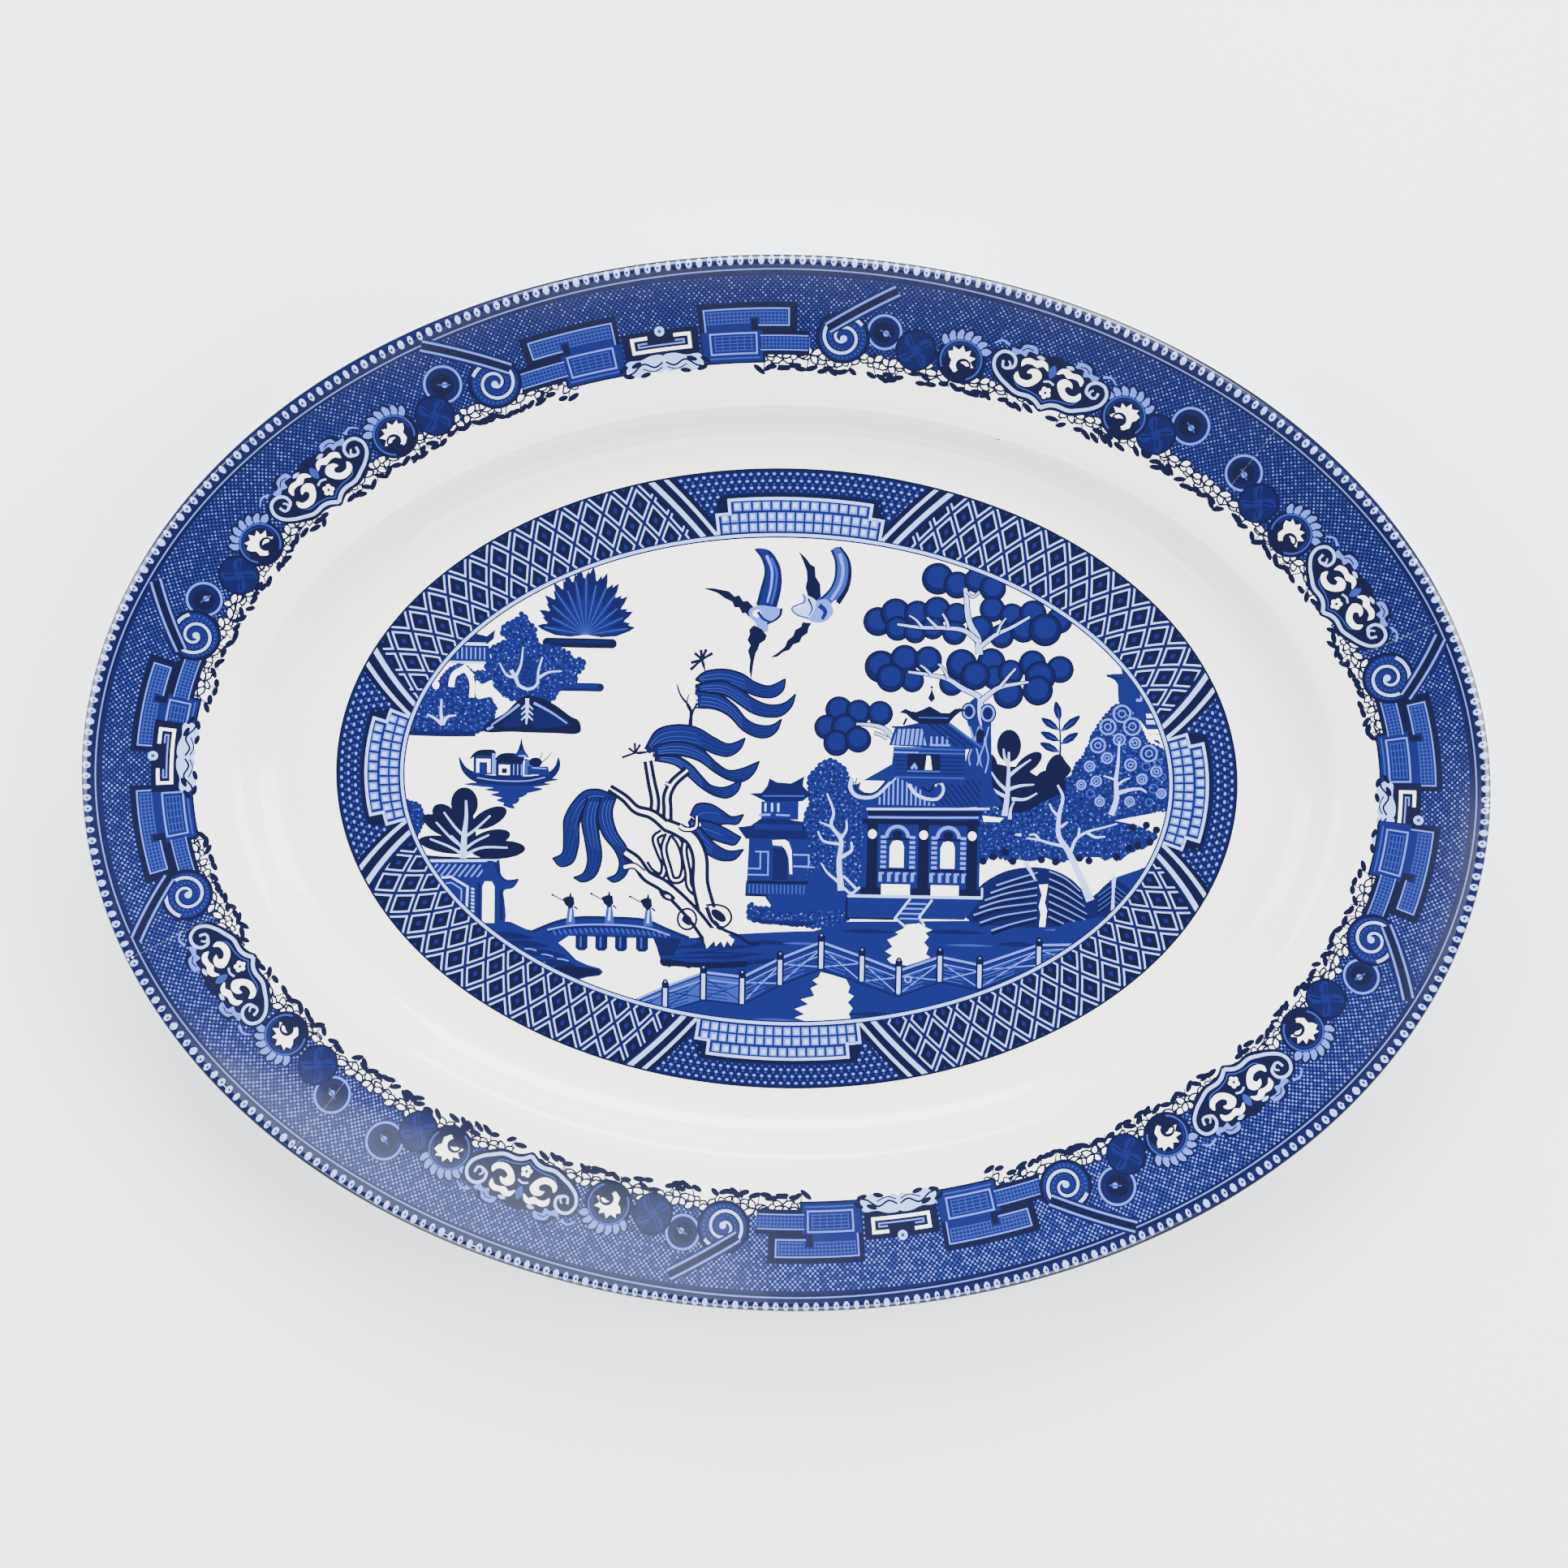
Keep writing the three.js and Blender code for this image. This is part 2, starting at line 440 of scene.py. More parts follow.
@dataclass
class PlatterBody:
    """The fired body, from foot ring over the lip to the well's floor."""

    shape: PlatterShape
    flats: int = 288
    rim_rings: int = 14
    lip_rings: int = 12
    wall_rings: int = 16
    smooth_to: float = 50.0

    def outline(self) -> list[tuple[float, float]]:
        """Lists the section's insets and heights, from the foot ring's inner side to the well's floor."""
        s = self.shape
        floor = s.rim_width + s.wall_run
        foot_outer = floor + s.foot_set_in
        foot_inner = foot_outer + 2 * s.foot_taper + s.foot_width
        thickness = 2 * s.lip_radius
        verge = s.height - s.rim_fall
        middle = ((s.lip_radius + s.rim_width) / 2, s.height - s.rim_fall / 2 - 2 * s.rim_dish)
        under_verge = (s.rim_width - thickness * s.under_verge_set_out, verge - thickness)
        wall_foot = floor - s.under_wall_set_out
        foot = [
            (foot_inner, s.base_height),
            (foot_outer + s.foot_taper + s.foot_width, 0.0),
            (foot_outer + s.foot_taper, 0.0),
        ]
        under_wall = bezier(
            [
                (foot_outer, s.base_height),
                (wall_foot - s.foot_taper, s.base_height + s.foot_taper),
                under_verge,
            ],
            self.wall_rings,
        )
        under_rim = bezier(
            [under_verge, (middle[0], middle[1] - thickness), (s.lip_radius, s.height - thickness)],
            self.rim_rings,
        )
        lip = []
        for turn in np.linspace(math.pi, 0, self.lip_rings + 1):
            drop = s.lip_radius * (1 - math.cos(turn))
            lip.append((s.lip_radius * (1 - math.sin(turn)), s.height - drop))
        rim = bezier([(s.lip_radius, s.height), middle, (s.rim_width, verge)], self.rim_rings)
        shoulder = (s.rim_width + s.wall_run * s.shoulder_reach, verge - s.wall_run * s.shoulder_drop)
        heel = (s.rim_width + s.wall_run * s.heel_reach, s.floor_height)
        wall = bezier([(s.rim_width, verge), shoulder, heel, (floor, s.floor_height)], self.wall_rings)
        return foot + under_wall + under_rim[1:-1] + lip + rim[1:] + wall[1:]

    def build(self) -> bpy.types.Object:
        """Models the body: a disc for the base, drawn out ring by ring to the well's floor."""
        s = self.shape
        rings = self.outline()
        bpy.ops.object.select_all(action="DESELECT")
        inset, height = rings[0]
        bpy.ops.mesh.primitive_circle_add(
            vertices=self.flats, radius=1.0, fill_type="NGON", location=(0, 0, height * MM)
        )
        body = bpy.context.object
        body.name = "fired_body"
        bpy.ops.object.mode_set(mode="EDIT")
        bpy.ops.mesh.select_all(action="SELECT")
        size = (s.length / 2 - inset, s.width / 2 - inset)
        bpy.ops.transform.resize(value=(size[0] * MM, size[1] * MM, 1), center_override=(0, 0, height * MM))
        for next_inset, next_height in rings[1:]:
            rise = (next_height - height) * MM
            bpy.ops.mesh.extrude_region_move(TRANSFORM_OT_translate={"value": (0, 0, rise)})
            height = next_height
            next_size = (s.length / 2 - next_inset, s.width / 2 - next_inset)
            growth = (next_size[0] / size[0], next_size[1] / size[1], 1)
            bpy.ops.transform.resize(value=growth, center_override=(0, 0, height * MM))
            size = next_size
        bpy.ops.mesh.select_all(action="SELECT")
        bpy.ops.mesh.normals_make_consistent(inside=False)
        bpy.ops.object.mode_set(mode="OBJECT")
        bpy.ops.object.transform_apply(location=True, rotation=True, scale=True)
        bpy.ops.object.shade_smooth_by_angle(angle=math.radians(self.smooth_to))
        return body

    def dress(self, body: bpy.types.Object) -> None:
        """Glazes the body and leaves the foot ring's standing face bare.

        Args:
            body: the finished body.
        """
        body.data.materials.append(Glaze().make())
        body.data.materials.append(BareClay().make())
        on_table, level = 0.05 * MM, 0.99
        for face in body.data.polygons:
            if face.center.z < on_table and abs(face.normal.z) > level:
                face.material_index = 1


def bezier(handles: Sequence[tuple[float, float]], steps: int) -> list[tuple[float, float]]:
    """Works out a Bezier curve of any degree.

    Args:
        handles: its control points.
        steps: how many parts it is cut into.

    Returns:
        The points from its start to its end.
    """
    degree = len(handles) - 1
    share = np.linspace(0, 1, steps + 1)[:, None]
    curve = sum(
        math.comb(degree, i) * share**i * (1 - share) ** (degree - i) * np.array(handle)
        for i, handle in enumerate(handles)
    )
    return [tuple(point) for point in curve]


# ---------------------------------------------------------------- drawing


def points_of(outline: Outline) -> np.ndarray:
    """Reads points, written as "x,y x,y" or given as pairs, into an array."""
    if isinstance(outline, str):
        outline = [tuple(map(float, pair.split(","))) for pair in outline.split()]
    return np.asarray(outline, dtype=float)


def smooth(points: np.ndarray, closed: bool, step: float) -> np.ndarray:
    """Runs a smooth curve through points.

    Args:
        points: what it goes through.
        closed: whether it comes back to the first.
        step: longest part of the result.

    Returns:
        Points along the curve, without a repeat of the first one when it is closed.
    """
    if closed:
        ring = np.concatenate([points[-1:], points, points[:2]])
    else:
        ring = np.concatenate([2 * points[:1] - points[1:2], points, 2 * points[-1:] - points[-2:-1]])
    gaps = np.maximum(np.linalg.norm(np.diff(ring, axis=0), axis=1), 1e-6) ** 0.5
    result = []
    for i in range(1, len(ring) - 2):
        before, gap, after = gaps[i - 1], gaps[i], gaps[i + 1]
        start, end = ring[i], ring[i + 1]
        leave = (start - ring[i - 1]) / before - (end - ring[i - 1]) / (before + gap) + (end - start) / gap
        arrive = (end - start) / gap - (ring[i + 2] - start) / (gap + after) + (ring[i + 2] - end) / after
        parts = max(1, math.ceil(np.linalg.norm(end - start) / step))
        t = np.arange(parts)[:, None] / parts
        h10, h11 = t**3 - 2 * t**2 + t, t**3 - t**2
        h01 = 3 * t**2 - 2 * t**3
        result.append((1 - h01) * start + h01 * end + gap * (h10 * leave + h11 * arrive))
    if not closed:
        result.append(points[-1:])
    return np.concatenate(result)


def inside(places: np.ndarray, outline: np.ndarray) -> np.ndarray:
    """Says which places an outline holds.

    Args:
        places: points to test.
        outline: a closed outline.

    Returns:
        True for each point inside it.
    """
    start, end = outline, np.roll(outline, -1, axis=0)
    rise = end[:, 1] - start[:, 1]
    lean = (end[:, 0] - start[:, 0]) / np.where(np.abs(rise) < 1e-12, 1e-12, rise)
    share = max(1, 1_000_000 // len(outline))
    found = [np.zeros(0, dtype=bool)]
    for first in range(0, len(places), share):
        x, y = places[first : first + share, :1], places[first : first + share, 1:]
        crosses = (start[:, 1] > y) != (end[:, 1] > y)
        found.append((crosses & (x < start[:, 0] + (y - start[:, 1]) * lean)).sum(axis=1) % 2 == 1)
    return np.concatenate(found)


def regular(sides: int, radius: float, tall: float | None = None) -> np.ndarray:
    """Lists the corners of a regular polygon, or of an oval one when it is given a second radius."""
    turn = (np.arange(sides) + 0.5) * 2 * math.pi / sides
    return np.stack([radius * np.cos(turn), (radius if tall is None else tall) * np.sin(turn)], axis=1)


@dataclass
class OvalTrack:
    """Lays drawings round an oval band, counter-clockwise from +X. Lengths are true at the middle inset."""

    half_length: float
    half_width: float
    middle: float
    steps: int = 3600
    around: float = field(init=False)

    def __post_init__(self) -> None:
        """Measures the oval that runs along the middle of the band."""
        self.turns = np.linspace(0, 2 * math.pi, self.steps + 1)
        self.axes = np.array([self.half_length - self.middle, self.half_width - self.middle])
        rim = np.stack([np.cos(self.turns), np.sin(self.turns)], axis=1) * self.axes
        self.lengths = np.concatenate([[0], np.cumsum(np.linalg.norm(np.diff(rim, axis=0), axis=1))])
        self.around = float(self.lengths[-1])

    def __call__(self, points: np.ndarray) -> np.ndarray:
        """Lays points on the band.

        Args:
            points: how far along the band each one is, and how far in from its outer edge.

        Returns:
            Their x and y on the platter.
        """
        turn = np.interp(np.mod(points[:, 0], self.around), self.lengths, self.turns)
        middle = np.stack([np.cos(turn), np.sin(turn)], axis=1)
        out = middle / self.axes
        out = out / np.linalg.norm(out, axis=1, keepdims=True)
        middle = middle * self.axes
        outer = np.array([self.half_length, self.half_width]) ** 2
        a = (out**2 / outer).sum(axis=1)
        b = (middle * out / outer).sum(axis=1)
        c = (middle**2 / outer).sum(axis=1) - 1
        reach = (-b + np.sqrt(b**2 - a * c)) / a
        return middle + out * (reach * (1 - points[:, 1] / self.middle))[:, None]


@dataclass
class Sheet:
    """Shapes of ink laid over each other in order.

    A track, when there is one, lays them round an oval band. A mask shows only what lies inside it.
    """

    track: OvalTrack | None = None
    mask: np.ndarray | None = None
    longest: float = 3.0
    tones: list[Tone] = field(default_factory=list)
    outlines: list[np.ndarray] = field(default_factory=list)
    covers: list[np.ndarray] = field(default_factory=list)

    def add(self, tone: Tone, outline: np.ndarray) -> None:
        """Lays one shape on the sheet."""
        self.tones.append(tone)
        self.outlines.append(outline)

    def laid(self) -> list[np.ndarray]:
        """Returns the outlines on the platter. Round a track their long edges are cut up and bent."""
        if self.track is None:
            return self.outlines
        cut = []
        for outline in self.outlines:
            after = np.roll(outline, -1, axis=0)
            parts = np.ceil(np.linalg.norm(after - outline, axis=1) / self.longest).astype(int)
            if parts.max() > 1:
                pairs = zip(outline, after, np.maximum(parts, 1))
                outline = np.concatenate([p + (q - p) * np.arange(n)[:, None] / n for p, q, n in pairs])
            cut.append(outline)
        return np.split(self.track(np.concatenate(cut)), np.cumsum([len(outline) for outline in cut])[:-1])

    def uncovered(self, places: np.ndarray) -> np.ndarray:
        """Returns the places, in drawing coordinates, that no cover holds.

        Args:
            places: where the dots would be.

        Returns:
            Those that stay.
        """
        keep = np.ones(len(places), dtype=bool)
        for cover in self.covers:
            near = np.all((places > cover.min(axis=0)) & (places < cover.max(axis=0)), axis=1) & keep
            if near.any():
                keep[np.flatnonzero(near)[inside(places[near], cover)]] = False
        return places[keep]


@dataclass
class Pen:
    """Draws on a sheet from a place of its own, turned, sized and mirrored there."""

    sheet: Sheet
    x: float = 0.0
    y: float = 0.0
    turn: float = 0.0
    size: float = 1.0
    flip: bool = False
    step: float = 0.8

    def put(self, points: np.ndarray) -> np.ndarray:
        """Returns the pen's own points in the sheet's coordinates.

        Args:
            points: the pen's own points.

        Returns:
            The points on the sheet.
        """
        turn = math.radians(self.turn)
        x = points[:, 0] * (-self.size if self.flip else self.size)
        y = points[:, 1] * self.size
        cos, sin = math.cos(turn), math.sin(turn)
        return np.stack([self.x + x * cos - y * sin, self.y + x * sin + y * cos], axis=1)

    def cut(self, tone: Tone, outline: Outline, covers: bool = False) -> None:
        """Fills an outline with straight sides.

        Args:
            tone: the ink's strength.
            outline: its corners in order.
            covers: whether a ground of dots that is laid later keeps off it.
        """
        points = self.put(points_of(outline))
        self.sheet.add(tone, points)
        if covers:
            self.sheet.covers.append(points)

    def fill(self, tone: Tone, outline: Outline, covers: bool = False) -> None:
        """Fills an outline that curves through its points."""
        self.cut(tone, smooth(points_of(outline), True, self.step), covers)

    def line(
        self, tone: Tone, path: Outline, wide: float, end: float | None = None, curved: bool = True
    ) -> None:
        """Draws a line that may taper.

        Args:
            tone: the ink's strength.
            path: the points that it passes.
            wide: its width at the start.
            end: its width at the end, or None for the same.
            curved: whether it runs through them smoothly, or straight.
        """
        points = points_of(path)
        if curved and len(points) > 2:
            points = smooth(points, False, self.step)
        steps = np.diff(points, axis=0)
        steps = steps / np.maximum(np.linalg.norm(steps, axis=1, keepdims=True), 1e-9)
        bend = np.concatenate([steps[:1], (steps[:-1] + steps[1:]) / 2, steps[-1:]])
        bend = bend / np.maximum((bend**2).sum(axis=1, keepdims=True), 0.3)
        half = np.linspace(wide, wide if end is None else end, len(points))[:, None] / 2
        side = np.stack([-bend[:, 1], bend[:, 0]], axis=1) * np.maximum(half, 0.03)
        left, right = self.put(points + side), self.put(points - side)
        for i in range(len(points) - 1):
            self.sheet.add(tone, np.array([right[i], right[i + 1], left[i + 1], left[i]]))

    def disc(
        self, tone: Tone, x: float, y: float, radius: float, tall: float | None = None, covers: bool = False
    ) -> None:
        """Fills a disc, or an oval when it is given a second radius.

        Args:
            tone: the ink's strength.
            x: across to its middle.
            y: up to its middle.
            radius: half its width.
            tall: half its height, or None for the same.
            covers: whether a ground of dots that is laid later keeps off it.
        """
        sides = int(min(40, max(6, 7 + 7 * max(radius, tall or 0) * self.size)))
        self.cut(tone, regular(sides, radius, tall) + (x, y), covers)

    def ring(
        self, tone: Tone, x: float, y: float, radius: float, wide: float, tall: float | None = None
    ) -> None:
        """Draws a round or oval line.

        Args:
            tone: the ink's strength.
            x: across to its middle.
            y: up to its middle.
            radius: half its width.
            wide: how wide the line is.
            tall: half its height, or None for the same.
        """
        sides = int(min(48, max(10, 12 + 8 * radius * self.size)))
        points = regular(sides, radius, tall) + (x, y)
        self.line(tone, np.concatenate([points, points[:1]]), wide, curved=False)

    def leaf(self, tone: Tone, start: tuple[float, float], tip: tuple[float, float], wide: float) -> None:
        """Fills a leaf, pointed at both ends and widest a little past its middle.

        Args:
            tone: the ink's strength.
            start: where it grows from.
            tip: its far end.
            wide: its greatest width.
        """
        start, tip = np.array(start, dtype=float), np.array(tip, dtype=float)
        along = tip - start
        side = np.array([-along[1], along[0]]) / max(float(np.linalg.norm(along)), 1e-6) * wide / 2
        profile = ((0.3, 0.8), (0.6, 1), (0.88, 0.5))
        left = [start + along * share + side * part for share, part in profile]
        right = [start + along * share - side * part for share, part in profile]
        self.cut(tone, np.array([start, *left, tip, *right[::-1]]))

    def stipple(self, tone: Tone, outline: np.ndarray, pitch: float, radius: float, seed: int = 1) -> None:
        """Scatters dots over an outline.

        Args:
            tone: the dots' strength.
            outline: where they lie.
            pitch: about how far apart they are.
            radius: how big they are.
            seed: which scatter it is.
        """
        draw = np.random.default_rng(seed)
        low, high = outline.min(axis=0), outline.max(axis=0)
        across, up = np.meshgrid(np.arange(low[0], high[0], pitch), np.arange(low[1], high[1], pitch))
        places = np.stack([across.ravel(), up.ravel()], axis=1)
        places = places + draw.uniform(-0.38, 0.38, places.shape) * pitch
        for place in places[inside(places, outline)]:
            size = radius * draw.uniform(0.7, 1.25)
            self.cut(tone, regular(4, size) + place)

    def hatch(self, tone: Tone, outline: Outline, angle: float, pitch: float, wide: float) -> None:
        """Rules parallel lines across an outline.

        Args:
            tone: the lines' strength.
            outline: what they are cut to.
            angle: their direction in degrees.
            pitch: how far apart they are.
            wide: how wide each one is.
        """
        outline = points_of(outline)
        turn = math.radians(angle)
        along = np.array([math.cos(turn), math.sin(turn)])
        across = np.array([-math.sin(turn), math.cos(turn)])
        reach, height = outline @ along, outline @ across
        for level in np.arange(height.min() + pitch / 2, height.max(), pitch):
            cuts = []
            for i in range(len(outline)):
                low, high = height[i - 1], height[i]
                if (low > level) != (high > level):
                    cuts.append(reach[i - 1] + (reach[i] - reach[i - 1]) * (level - low) / (high - low))
            cuts.sort()
            for start, end in zip(cuts[::2], cuts[1::2]):
                if end - start > wide:
                    ends = [along * start + across * level, along * end + across * level]
                    self.line(tone, ends, wide)


# ---------------------------------------------------------------- films


@dataclass
class Film:
    """A thin printed film that lies on the body. Its top is cut into the shapes that were drawn on it."""

    name: str
    sheets: Sequence[Sheet]
    edge: np.ndarray
    lift: Callable[[np.ndarray], tuple[np.ndarray, np.ndarray]]
    grid: np.ndarray = field(default_factory=lambda: np.zeros((0, 2)))
    underside: np.ndarray = field(default_factory=lambda: np.zeros((0, 2)))
    proud: float = 0.03
    depth: float = 0.2
    facing: float = 1.0

    def cut(
        self, outlines: list[np.ndarray], masks: list[np.ndarray | None], loose: np.ndarray
    ) -> tuple[np.ndarray, np.ndarray, np.ndarray]:
        """Cuts the plane along every outline.

        Args:
            outlines: closed outlines, the film's own edge first.
            masks: for each outline the mask that it shows inside, or None.
            loose: further points that the triangles use.

        Returns:
            The points, the triangles inside the edge, and the last outline that holds each of them.
        """
        points = np.concatenate(outlines + [loose])
        ends = np.cumsum([len(outline) for outline in outlines])
        after = np.arange(1, ends[-1] + 1)
        after[ends - 1] = np.concatenate([[0], ends[:-1]])
        edges = np.column_stack([np.arange(ends[-1]), after])
        made = delaunay_2d_cdt(points.tolist(), edges.tolist(), [], 0, 1e-4, False)
        flat = np.array([tuple(p) for p in made[0]])
        triangles = np.array(made[2])
        middles = flat[triangles].mean(axis=1)
        order = np.argsort(middles[:, 0])
        across = middles[order, 0]
        distinct = {id(mask): mask for mask in masks if mask is not None}
        shown = {key: inside(middles, mask) for key, mask in distinct.items()}
        holder = np.full(len(triangles), -1)
        for number, (outline, mask) in enumerate(zip(outlines, masks)):
            low, high = outline.min(axis=0), outline.max(axis=0)
            near = order[np.searchsorted(across, low[0]) : np.searchsorted(across, high[0])]
            near = near[(middles[near, 1] > low[1]) & (middles[near, 1] < high[1])]
            near = near[inside(middles[near], outline)]
            if number > 0:
                near = near[holder[near] >= 0]
            if mask is not None:
                near = near[shown[id(mask)][near]]
            holder[near] = number
        kept = holder >= 0
        return flat, triangles[kept], holder[kept]

    def boundary(self, triangles: np.ndarray) -> list[int]:
        """Follows the edge round a set of triangles.

        Args:
            triangles: the triangles, all turned the same way.

        Returns:
            The points along their edge, in order.
        """
        edges = {(t[i], t[(i + 1) % 3]) for t in triangles.tolist() for i in range(3)}
        after = {a: b for a, b in edges if (b, a) not in edges}
        first = min(after)
        loop = [first]
        while after[loop[-1]] != first and len(loop) <= len(after):
            loop.append(after[loop[-1]])
        return loop

    def build(self) -> bpy.types.Object:
        """Builds the film as a closed slab.

        No edit operator cuts a face along thousands of outlines, so this mesh is made from its points.
        """
        low, high = self.edge.min(axis=0), self.edge.max(axis=0)
        outlines, masks, shades = [self.edge], [None], [0]
        for sheet in self.sheets:
            for tone, outline in zip(sheet.tones, sheet.laid()):
                if np.all(outline.min(axis=0) < high) and np.all(outline.max(axis=0) > low):
                    outlines.append(outline)
                    masks.append(sheet.mask)
                    shades.append(int(tone))
        flat, triangles, holder = self.cut(outlines, masks, self.grid)
        tones = np.array(shades)[holder]
        loop = self.boundary(triangles)
        under_flat, under, _ = self.cut([flat[loop]], [None], self.underside)
        went = [int(np.argmin(((under_flat - flat[corner]) ** 2).sum(axis=1))) for corner in loop]
        height, normals = self.lift(flat)
        under_height, _ = self.lift(under_flat)
        top = np.column_stack([flat, height + self.proud * self.facing]) * MM
        bottom = np.column_stack([under_flat, under_height - self.depth * self.facing]) * MM
        start = len(top)
        faces = triangles.tolist() + (under[:, ::-1] + start).tolist()
        for i, corner in enumerate(loop):
            j = (i + 1) % len(loop)
            faces.append((corner, went[i] + start, went[j] + start, loop[j]))
        if self.facing < 0:
            faces = [face[::-1] for face in faces]
        mesh = bpy.data.meshes.new(self.name)
        mesh.from_pydata(np.concatenate([top, bottom]).tolist(), [], faces)
        slots = np.zeros(len(faces), dtype=np.int32)
        slots[: len(tones)] = tones
        mesh.polygons.foreach_set("material_index", slots)
        mesh.polygons.foreach_set("use_smooth", np.arange(len(faces)) < len(triangles))
        corners = np.zeros(len(mesh.loops), dtype=np.int32)
        mesh.loops.foreach_get("vertex_index", corners)
        custom = np.zeros((len(mesh.loops), 3))
        tops = 3 * len(triangles)
        custom[:tops] = normals[corners[:tops]] * self.facing
        mesh.normals_split_custom_set(custom.tolist())
        piece = bpy.data.objects.new(self.name, mesh)
        bpy.context.scene.collection.objects.link(piece)
        log.info("%s: %d shapes, %d triangles", self.name, len(shades), len(triangles))
        return piece


# ---------------------------------------------------------------- the printed scene


@dataclass
class Landscape:
    """The river scene in the well, with its pavilions, trees, bridge, boat and birds.

    The composition is the traditional one of this kind of ware.
    Points are in millimetres from the platter's middle.
    """

    sheet: Sheet = field(default_factory=Sheet)

    def __post_init__(self) -> None:
        """Takes up the pen."""
        self.pen = Pen(self.sheet)

    def draw(self) -> Sheet:
        """Draws the scene from its far parts to its near ones and returns the sheet."""
        self.pen.cut(CLEAR, "-115,-75 115,-75 115,75 -115,75")
        self.draw_ground()
        self.draw_left_bank()
        self.draw_left_gate()
        self.draw_boat()
        self.draw_right_bank()
        self.draw_round_tree()
        self.draw_small_house()
        self.draw_pavilion()
        self.draw_bridge()
        self.draw_willow()
        self.draw_fence()
        self.draw_birds()
        return self.sheet

    def mass(self, outline: Outline, seed: int, scallop: float = 1.3, ground: Tone = MID) -> None:
        """Draws a mass of foliage.

        Args:
            outline: its edge.
            seed: which scatter of dots fills it.
            scallop: radius of the lobes along its edge.
            ground: the ink under the dots.
        """
        draw = np.random.default_rng(seed)
        edge = smooth(points_of(outline), True, 0.8)
        gone = np.concatenate([[0], np.cumsum(np.linalg.norm(np.diff(edge, axis=0), axis=1))])
        for reach in np.arange(0, gone[-1], scallop * 1.25):
            x, y = (np.interp(reach, gone, edge[:, i]) for i in (0, 1))
            self.pen.disc(ground, x, y, scallop * draw.uniform(0.55, 0.95))
        self.pen.cut(ground, edge)
        self.pen.stipple(DEEP, edge, 1.3, 0.45, seed)
        self.pen.stipple(SOFT, edge, 1.35, 0.3, seed + 50)
        self.pen.stipple(LIGHT, edge, 2.6, 0.26, seed + 90)

    def bough(self, path: Outline, wide: float, end: float | None = None, edge: float = 0.0) -> None:
        """Draws a branch left white, with a dark line along both sides where it is given an edge.

        Args:
            path: the points that it passes.
            wide: its width at the start.
            end: its width at the end, or None for the same.
            edge: how wide the dark line is, or 0 for none.
        """
        if edge > 0:
            self.pen.line(NAVY, path, wide + 2 * edge, (wide if end is None else end) + 2 * edge)
        self.pen.line(PALE if edge == 0 else CLEAR, path, wide * (1.25 if edge == 0 else 1), end)

    def frond(self, upper: str, lower: str, veins: Sequence[float] = (0.28, 0.56, 0.8)) -> None:
        """Draws one long curling willow leaf.

        Args:
            upper: points along one side, from the stem to the tip.
            lower: points along the other side.
            veins: how far across the leaf each vein runs.
        """
        sides = [smooth(points_of(side), False, 0.8) for side in (upper, lower)]
        self.pen.cut(MID, np.concatenate([sides[0], sides[1][::-1][1:-1]]))
        share = np.linspace(0, 1, 22)
        evened = []
        for side in sides:
            reach = np.linspace(0, 1, len(side))
            evened.append(np.stack([np.interp(share, reach, side[:, i]) for i in (0, 1)], axis=1))
        for vein in veins:
            path = evened[0] * (1 - vein) + evened[1] * vein
            self.pen.line(DEEP, path[:19], 0.55, 0.2)
            self.pen.line(SOFT, path[1:12] * 0.94 + evened[1][1:12] * 0.06, 0.22, 0.1)
        for side in sides:
            self.pen.line(NAVY, side, 0.6, 0.45, curved=False)

    def draw_ground(self) -> None:
        """Draws the near bank, its grassy edge and the two white paths."""
        pen = self.pen
        pen.cut(MID, "-33,-41 -24,-41.5 -20,-40.5 -10,-39.7 0,-39 8,-38.6 16,-36 50,-35 70,-32 82,-28 "
            "92,-20 97,-14 100,-30 80,-60 40,-70 0,-72 -40,-70 -38,-58.3 -30,-54 -20,-50 -19.5,-48.5 "
            "-31,-48 -32,-45")
        pen.cut(DEEP, "-32,-41.3 -26,-41.8 -31.5,-42.6 -22,-42.6 -30,-44 -14,-43.6 -27,-45.4 -8,-45 "
            "-31,-46.6 -4,-46.4 -31,-48 -29,-49 -27,-48 -24,-49.2 -22,-48.2 -19,-49.2 -16,-48.2 -13,-49 "
            "-10,-48 -5,-47.4 2,-46.6 -2,-46 -16,-46.8 -4,-44.8 -18,-44.6 -6,-43 -22,-42 -20,-41")
        pen.fill(NAVY, "-31.5,-47 -24,-47.4 -16,-47.5 -9,-47.2 -9,-48.2 -13,-48.6 -17,-48.9 -22,-48.9 "
            "-27,-48.7 -31,-48.5")
        bush = (
            "-8,-32 -6.5,-33.2 -3,-33 0,-32.8 4,-31.5 9,-29 14,-29.2 16.2,-32 16.2,-36 10,-37.4 4,-37 "
            "-1,-36.6 -5,-36.2 -8.5,-35.5"
        )
        self.mass(bush, 3, 1.1)
        pen.fill(DEEP, "-8.5,-35 -6,-35.9 -2,-36.2 3,-36.5 8,-37 4,-37.6 -2,-37.2 -6,-37")
        pen.fill(CLEAR, "-9.5,-39.4 -5,-38.4 1,-38.4 3,-37.9 -2,-37.4 -6,-37.2 -9,-37.8 -13,-39.6")
        for x, y, wide in (
            (4, -36.8, 5), (22, -38.5, 7), (44, -38.2, 8), (60, -41, 5), (-4, -42, 6), (56, -50, 6),
            (24, -60, 7),
        ):
            pen.fill(DEEP, f"{x - wide},{y} {x},{y + 0.7} {x + wide},{y} {x},{y - 0.5}")
        for x, y, wide in ((5, -42, 5), (48, -41.5, 6), (72, -37, 5), (-2, -62, 6), (36, -60, 6)):
            pen.fill(SOFT, f"{x - wide},{y} {x},{y + 0.35} {x + wide},{y} {x},{y - 0.25}")
